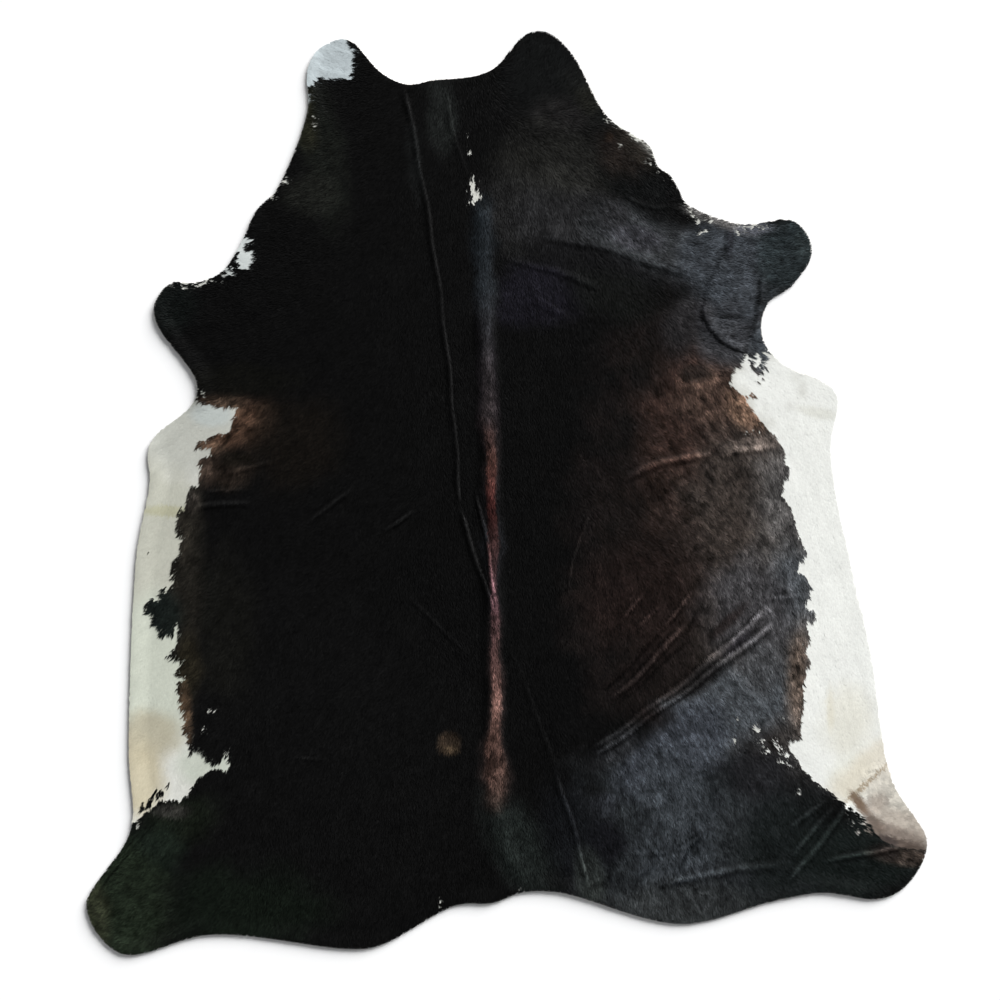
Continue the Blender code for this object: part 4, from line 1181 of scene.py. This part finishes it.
length = LOCK_LENGTH * np.where(hair_speck, SPECK, 1.0) * (1.0 + SIZE_SPREAD * draw.uniform(-1.0, 1.0, count))
stray = draw.normal(0.0, STRAY, count) + CLUMP * clouds(roots, CLUMP_SIZE, seed=90, layers=2)
bend = draw.normal(0.0, BEND, count)


def turn_by(way, angle):
    """Each direction turned counterclockwise by its angle."""
    cos, sin = np.cos(angle), np.sin(angle)
    return np.column_stack([way[:, 0] * cos - way[:, 1] * sin, way[:, 0] * sin + way[:, 1] * cos])


way = turn_by(lie, stray)
tip_way = turn_by(way, bend)
tips = roots + length[:, None] * tip_way
here, there = inside_by(roots), inside_by(tips)
beyond = TRIM_BEYOND * draw.uniform(TRIM_LEAST, 1.0, count)
room = (here + beyond) / np.maximum(here - there, NEARLY_NOTHING)
length = np.where(there < 0.0, length * np.clip(room, STUB, 1.0), length)
middles = roots + (MIDDLE_AT * length)[:, None] * way
tips = roots + length[:, None] * tip_way
print("locks are", (length.min() * 1000).round(1), "to", (length.max() * 1000).round(1), "mm long")

# %% Heights and normals of the locks
ROOT_RISE = np.where(hair_white, 0.00015, -0.0002)  # over the skin's hair side
MIDDLE_RISE = np.where(hair_white, 0.00045, 0.00130)
TIP_RISE = np.where(hair_white, 0.00040, 0.00120)
RISE_SPREAD = np.where(hair_white, 0.12, 0.30)  # share by which a middle's rise varies
TIP_SPREAD = 1.5  # a tip's rise varies this much more
ROUNDING = np.where(hair_white, 0.04, 0.26)  # how far a blade's edges lean outward, as a slope
ROLL = np.where(hair_white, 0.012, 0.09)  # spread of the blades' own lean
ROOT_HALF, MIDDLE_HALF = 0.35, 0.5  # half a blade at its root and its middle, in widths
ROOT_PITCH, MIDDLE_PITCH, TIP_PITCH = -0.12, -0.03, 0.06  # how far the normals lean forward

side = np.column_stack([-way[:, 1], way[:, 0]])
width = LOCK_WIDTH * draw.uniform(1.0 - SIZE_SPREAD, 1.0 + SIZE_SPREAD, count)
roll = ROLL * draw.normal(0.0, 1.0, count)
middle_rise = MIDDLE_RISE * (1.0 + RISE_SPREAD * draw.uniform(-1.0, 1.0, count))
tip_rise = TIP_RISE * (1.0 + TIP_SPREAD * RISE_SPREAD * draw.uniform(-1.0, 1.0, count))


def lock_corner(spot, rise, across, pitch):
    """One corner of every lock, across widths to the left of its line, and the normal there: up,
    less the skin's slope, leaned out by ROUNDING and roll and forward by pitch."""
    place = spot + (across * width)[:, None] * side
    height = read_net(top_net, spot) + rise + across * width * roll
    lean = 2.0 * across * ROUNDING - roll
    normal = np.column_stack([lean[:, None] * side + pitch * way - slope_at(spot), np.ones(count)])
    return np.column_stack([place, height]), normal / np.linalg.norm(normal, axis=1)[:, None]


corner_table = [
    lock_corner(roots, ROOT_RISE, -ROOT_HALF, ROOT_PITCH),
    lock_corner(roots, ROOT_RISE, ROOT_HALF, ROOT_PITCH),
    lock_corner(middles, middle_rise, MIDDLE_HALF, MIDDLE_PITCH),
    lock_corner(middles, middle_rise, -MIDDLE_HALF, MIDDLE_PITCH),
    lock_corner(tips, tip_rise, 0.0, TIP_PITCH),
]
lock_places = np.stack([place for place, _ in corner_table], axis=1)
lock_normals = np.stack([normal for _, normal in corner_table], axis=1)
coat_top = (lock_places[:, :, 2].max() * 1000).round(1)
print("coat top:", coat_top, "mm; solid top:", round(cad_box[1][2] * 1000, 1), "mm")

# %% Colour along each lock
SHADE_ALONG = np.array([0.72, 0.72, 1.0, 1.0, 1.12])  # darker at the root, lighter at the tip
WHITE_SHADE = np.array([0.98, 0.98, 1.0, 1.0, 1.01])
TONE_SPREAD = np.where(hair_white, 0.010, 0.12)  # share by which single locks are lighter or darker
TONE_LIMITS = (0.6, 1.5)  # the darkest and the lightest of them, as shares
CORNER_TONES = (1.0, 252.0)  # the darkest and the lightest that a corner gets, as screen values

CREST_HIGHLIGHT = 0.70  # painted highlight: how much lighter hair is painted on a sharp crest
VALLEY_SHADE = 0.45  # painted shade: how much darker it is painted beside one
WHITE_CREST = 0.05  # white hair gets this share of that painted highlight and shade
SHARP = 90.0  # a sharp crest's curvature, per metre


def painted_crest_shade(points):
    """1, more on crests and less beside them, by the skin's curvature held at SHARP: a painted highlight and
    painted shade.
    """
    curve = np.clip(read_net(curve_net, points) / SHARP, -1.0, 1.0)
    return 1.0 + CREST_HIGHLIGHT * curve.clip(0.0) + VALLEY_SHADE * curve.clip(None, 0.0)


lock_tone = 1.0 + TONE_SPREAD * draw.normal(0.0, 1.0, count)
shades = np.where(hair_white[:, None], WHITE_SHADE, SHADE_ALONG) * lock_tone.clip(*TONE_LIMITS)[:, None]
# The painted highlight and shade at the root, the middle and the tip.
crests = np.column_stack([painted_crest_shade(spot) for spot in (roots, middles, tips)])[:, [0, 0, 1, 1, 2]]
shades = shades * np.where(hair_white[:, None], 1.0 + WHITE_CREST * (crests - 1.0), crests)
lock_colours = linear((hair_colour[:, None, :] * shades[:, :, None]).clip(*CORNER_TONES))
print("mean hair colour:", lock_colours.mean(axis=(0, 1)).round(3))

# %% [markdown]
# The finish of a lock is drawn by a group that splits its blade into fine fibres: noise on the
# blade's own map, squeezed across and stretched along. It puts out a colour and a height, so both
# kinds of hair use it with their own values. Dark hair is given less gloss than white, because a
# gloss on black shows far more.

# %% Helpers for nodes


def add_node(tree, kind, inputs, **settings):
    """A node with its settings. Each of its inputs, by name or number, gets a link from the given
    socket, or the given value."""
    node = tree.nodes.new("ShaderNode" + kind)
    for name, value in settings.items():
        setattr(node, name, value)
    for name, value in inputs.items():
        if isinstance(value, bpy.types.NodeSocket):
            tree.links.new(value, node.inputs[name])
        else:
            node.inputs[name].default_value = value
    return node


def feed(tree, shader, colour, height, relief, depth):
    """Gives a shader its colour and, as a bump of that relief and depth, its height."""
    bump = add_node(tree, "Bump", {"Strength": relief, "Distance": depth, "Height": height})
    tree.links.new(colour, shader.inputs["Base Color"])
    tree.links.new(bump.outputs["Normal"], shader.inputs["Normal"])


# %% Fibres group
ACROSS, ALONG = 900.0, 150.0  # cells of noise from side to side of a band's map, and along it

fibres = bpy.data.node_groups.new("fibres", "ShaderNodeTree")
for label, kind, value in [
    ("Colour", "NodeSocketColor", (0.5, 0.5, 0.5, 1.0)),
    ("Map", "NodeSocketVector", (0.0, 0.0, 0.0)),
    ("Across", "NodeSocketFloat", ACROSS),
    ("Along", "NodeSocketFloat", ALONG),
    ("Depth", "NodeSocketFloat", 0.3),
]:
    socket = fibres.interface.new_socket(name=label, in_out="INPUT", socket_type=kind)
    socket.default_value = value
for label, kind in [("Colour", "NodeSocketColor"), ("Height", "NodeSocketFloat")]:
    fibres.interface.new_socket(name=label, in_out="OUTPUT", socket_type=kind)
into = fibres.nodes.new("NodeGroupInput").outputs
out = fibres.nodes.new("NodeGroupOutput").inputs
stretch = add_node(fibres, "CombineXYZ", {"X": into["Across"], "Y": into["Along"]}).outputs["Vector"]
place = add_node(fibres, "VectorMath", {0: into["Map"], 1: stretch}, operation="MULTIPLY").outputs["Vector"]
noise = add_node(fibres, "TexNoise", {"Vector": place, "Scale": 1.0, "Detail": 1.0}, noise_dimensions="2D")
grain = noise.outputs["Fac"]
centred = add_node(fibres, "Math", {0: grain, 1: 0.5}, operation="SUBTRACT").outputs["Value"]
shade = add_node(fibres, "Math", {0: centred, 1: into["Depth"], 2: 1.0}, operation="MULTIPLY_ADD")
tint = {0: into["Colour"], "Scale": shade.outputs["Value"]}
tinted = add_node(fibres, "VectorMath", tint, operation="SCALE").outputs["Vector"]
fibres.links.new(tinted, out["Colour"])
fibres.links.new(grain, out["Height"])
print("group:", fibres.name, [item.name for item in fibres.interface.items_tree])

# %% Hair materials
FIBRE_DEPTH = 0.0003  # how deep the grooves between fibres show


def hair_material(name, roughness, specular, depth, relief):
    """Hair whose colour comes from the mesh's own colours, split into fibres on its own map."""
    material, shader = new_material(name, roughness, specular)
    tree = material.node_tree
    colour = add_node(tree, "Attribute", {}, attribute_name="coat").outputs["Color"]
    tile = add_node(tree, "UVMap", {}, uv_map="OFBake").outputs["UV"]
    strands = add_node(tree, "Group", {"Colour": colour, "Map": tile, "Depth": depth}, node_tree=fibres)
    feed(tree, shader, strands.outputs["Colour"], strands.outputs["Height"], relief, FIBRE_DEPTH)
    return material


dark_hair = hair_material("dark_hair", roughness=0.50, specular=0.06, depth=0.5, relief=0.30)
white_hair = hair_material("white_hair", roughness=0.55, specular=0.20, depth=0.10, relief=0.06)
print("materials:", dark_hair.name, white_hair.name)

# %% [markdown]
# The bands are plain meshes of the arrays. Every lock gets its own tile on its band's map, and
# tiles are laid out in the order of the locks' places, so that neighbours on the rug are
# neighbours on the map.

# %% Make the coat's bands
BANDS = ["coat_rump", "coat_loin", "coat_ribs", "coat_shoulder", "coat_neck"]
TILE_GAP = 0.12  # share of a tile left free on each side
TILE_SHAPE = np.array([(0.15, 0.0), (0.85, 0.0), (1.0, 0.5), (0.0, 0.5), (0.5, 1.0)])  # a lock's corners
FACE_CORNERS = np.array([0, 3, 2, 1, 3, 4, 2])  # of its two faces
FACE_STARTS = np.array([0, 4])


def tiles_for(places):
    """A square of the map for each lock: columns by X, and rows by Y within each column."""
    per_side = math.ceil(math.sqrt(len(places)))
    by_x = np.argsort(places[:, 0], kind="stable")
    column = np.empty(len(places), dtype=int)
    column[by_x] = np.arange(len(places)) // per_side
    in_order = np.lexsort((places[:, 1], column))
    row = np.empty(len(places), dtype=int)
    starts = np.searchsorted(column[in_order], np.arange(per_side))
    row[in_order] = np.arange(len(places)) - starts[column[in_order]]
    return np.column_stack([column, row]) / per_side, 1.0 / per_side


def make_band(name, chosen):
    """One mesh of the chosen locks: a four-sided face from root to middle and a three-sided tip."""
    number, corners = len(chosen), len(TILE_SHAPE)
    mesh = bpy.data.meshes.new(name)
    order = np.arange(number)[:, None]
    loops = (corners * order + FACE_CORNERS).ravel()
    mesh.vertices.add(corners * number)
    mesh.vertices.foreach_set("co", lock_places[chosen].ravel())
    mesh.loops.add(len(loops))
    mesh.loops.foreach_set("vertex_index", loops)
    mesh.polygons.add(len(FACE_STARTS) * number)
    mesh.polygons.foreach_set("loop_start", (len(FACE_CORNERS) * order + FACE_STARTS).ravel())
    mesh.polygons.foreach_set("material_index", np.repeat(hair_white[chosen].astype(int), len(FACE_STARTS)))
    mesh.update(calc_edges=True)
    colours = mesh.color_attributes.new("coat", "FLOAT_COLOR", "POINT")
    rgba = np.concatenate([lock_colours[chosen], np.ones((number, corners, 1))], axis=2)
    colours.data.foreach_set("color", rgba.ravel())
    corner, size = tiles_for(roots[chosen])
    spots = corner[:, None, :] + size * (TILE_GAP + (1.0 - 2.0 * TILE_GAP) * TILE_SHAPE)[None, :, :]
    uv = mesh.uv_layers.new(name="OFBake")
    uv.data.foreach_set("uv", spots.reshape(-1, 2)[loops].ravel())
    mesh.shade_smooth()
    mesh.normals_split_custom_set_from_vertices(lock_normals[chosen].reshape(-1, 3))
    mesh.materials.append(dark_hair)
    mesh.materials.append(white_hair)
    band = bpy.data.objects.new(name, mesh)
    bpy.context.scene.collection.objects.link(band)
    return band


limits = np.quantile(roots[:, 1], np.linspace(0.0, 1.0, len(BANDS) + 1))
limits[-1] += 1.0  # the last band has the foremost lock too
coat = []
for name, low, high in zip(BANDS, limits[:-1], limits[1:]):
    chosen = np.flatnonzero((roots[:, 1] >= low) & (roots[:, 1] < high))
    coat.append(make_band(name, chosen))
    print(name, len(chosen), "locks,", 3 * len(chosen), "triangles")

# %% [markdown]
# The underside is suede: pale, dull, with a nap that was brushed this way and that. The cut edge
# is a little greyer and more even. The hair side is the colour of the roots, and shows only where
# locks part.

# %% Skin materials
WIDE_SCALE = 9.0  # clouds to a metre
NAP_SCALE = 420.0
NAP_SHARE = 0.35  # how much the nap adds to the clouds
NAP_RELIEF, NAP_DEPTH = 0.4, 0.0004


def skin_material(name, colour, roughness, patchy):
    """Suede: a colour that drifts in wide clouds and is freckled by its nap."""
    material, shader = new_material(name, roughness, specular=0.15)
    tree = material.node_tree
    place = add_node(tree, "TexCoord", {}).outputs["Object"]
    wide = add_node(tree, "TexNoise", {"Vector": place, "Scale": WIDE_SCALE, "Detail": 4.0}).outputs["Fac"]
    nap = add_node(tree, "TexNoise", {"Vector": place, "Scale": NAP_SCALE, "Detail": 3.0}).outputs["Fac"]
    share = add_node(tree, "Math", {0: nap, 1: NAP_SHARE, 2: wide}, operation="MULTIPLY_ADD").outputs["Value"]
    dull = (*(channel * (1.0 - patchy) for channel in colour), 1.0)
    pale = (*(min(1.0, channel * (1.0 + patchy)) for channel in colour), 1.0)
    mixed = add_node(tree, "Mix", {"Factor": share, "A": dull, "B": pale}, data_type="RGBA")
    feed(tree, shader, mixed.outputs["Result"], nap, NAP_RELIEF, NAP_DEPTH)
    return material


def root_material():
    """The hair side of the skin: the colour of the roots, kept on the mesh."""
    material, shader = new_material("hair_side", roughness=0.7, specular=0.1)
    colour = add_node(material.node_tree, "Attribute", {}, attribute_name="coat").outputs["Color"]
    material.node_tree.links.new(colour, shader.inputs["Base Color"])
    return material


hair_side = root_material()
suede = skin_material("suede", (0.55, 0.47, 0.37), roughness=0.9, patchy=0.28)
cut_edge = skin_material("cut_edge", (0.50, 0.45, 0.38), roughness=0.8, patchy=0.15)
print("materials:", hair_side.name, suede.name, cut_edge.name)

# %% Make the skin
EDGE_STRIP = 0.03  # the cut edge's share of the map
MAP_GAP = 0.01  # left free round each part
SHARP_ANGLE = math.radians(40.0)  # sides that meet at more than this show as an edge


def make_skin():
    """The tanned skin: the layout turned over for the underside, the same one thickness higher for
    the hair side, and a wall of four-sided faces along the edge."""
    number, triangles = len(skin_points), len(skin_faces)
    heights = [read_net(net, skin_points) for net in (under_net, top_net)]
    both_sides = np.vstack([np.column_stack([skin_points, height]) for height in heights])
    edge = np.arange(edge_count)
    ahead = np.roll(edge, -1)
    wall = np.column_stack([edge, ahead, ahead + number, edge + number])
    faces = [*map(tuple, skin_faces[:, ::-1]), *map(tuple, skin_faces + number), *map(tuple, wall)]
    skin = put_mesh("tanned_skin", both_sides, faces, [hair_side, suede, cut_edge])
    kinds = np.repeat([1, 0, 2], [triangles, triangles, edge_count])  # suede, hair side, cut edge
    skin.data.polygons.foreach_set("material_index", kinds)
    share = (skin_points - skin_points.min(axis=0)) / np.ptp(skin_points, axis=0)
    flat = EDGE_STRIP + MAP_GAP + share * (1.0 - EDGE_STRIP - 2.0 * MAP_GAP)
    flat[:, 0] = (MAP_GAP + share[:, 0] * (1.0 - 2.0 * MAP_GAP)) / 2.0
    underside = flat[skin_faces[:, ::-1]] + np.array([0.5, 0.0])
    run = np.column_stack([edge, edge + 1, edge + 1, edge]) / edge_count
    rise = np.broadcast_to([0.0, 0.0, EDGE_STRIP, EDGE_STRIP], run.shape)
    strip = np.stack([run, rise], axis=2)
    uv = skin.data.uv_layers.new(name="OFBake")
    spots = np.concatenate([part.reshape(-1, 2) for part in (underside, flat[skin_faces], strip)])
    uv.data.foreach_set("uv", spots.ravel())
    colour, *_ = coat_colour(skin_points, lie_of(skin_points), np.full(number, 0.5))
    rgba = np.column_stack([linear(colour), np.ones(number)])
    colours = skin.data.color_attributes.new("coat", "FLOAT_COLOR", "POINT")
    colours.data.foreach_set("color", np.vstack([rgba, rgba]).ravel())
    skin.data.shade_smooth()
    skin.data.set_sharp_from_angle(angle=SHARP_ANGLE)
    return skin


tanned_skin = make_skin()
print("tanned_skin:", len(tanned_skin.data.polygons), "faces")

# %% [markdown]
# ## What stands for the solid
#
# The skin and the five bands of the coat stand for the solid together, and all of them lie still
# on the one body. The skin is a laid sheet: it was never cut to anything but its own outline,
# whose box is 2.0 by 2.2 m and whose area is 3.1 square metres.

for piece in [tanned_skin, *coat]:
    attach(piece, "root")
    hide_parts("hide")
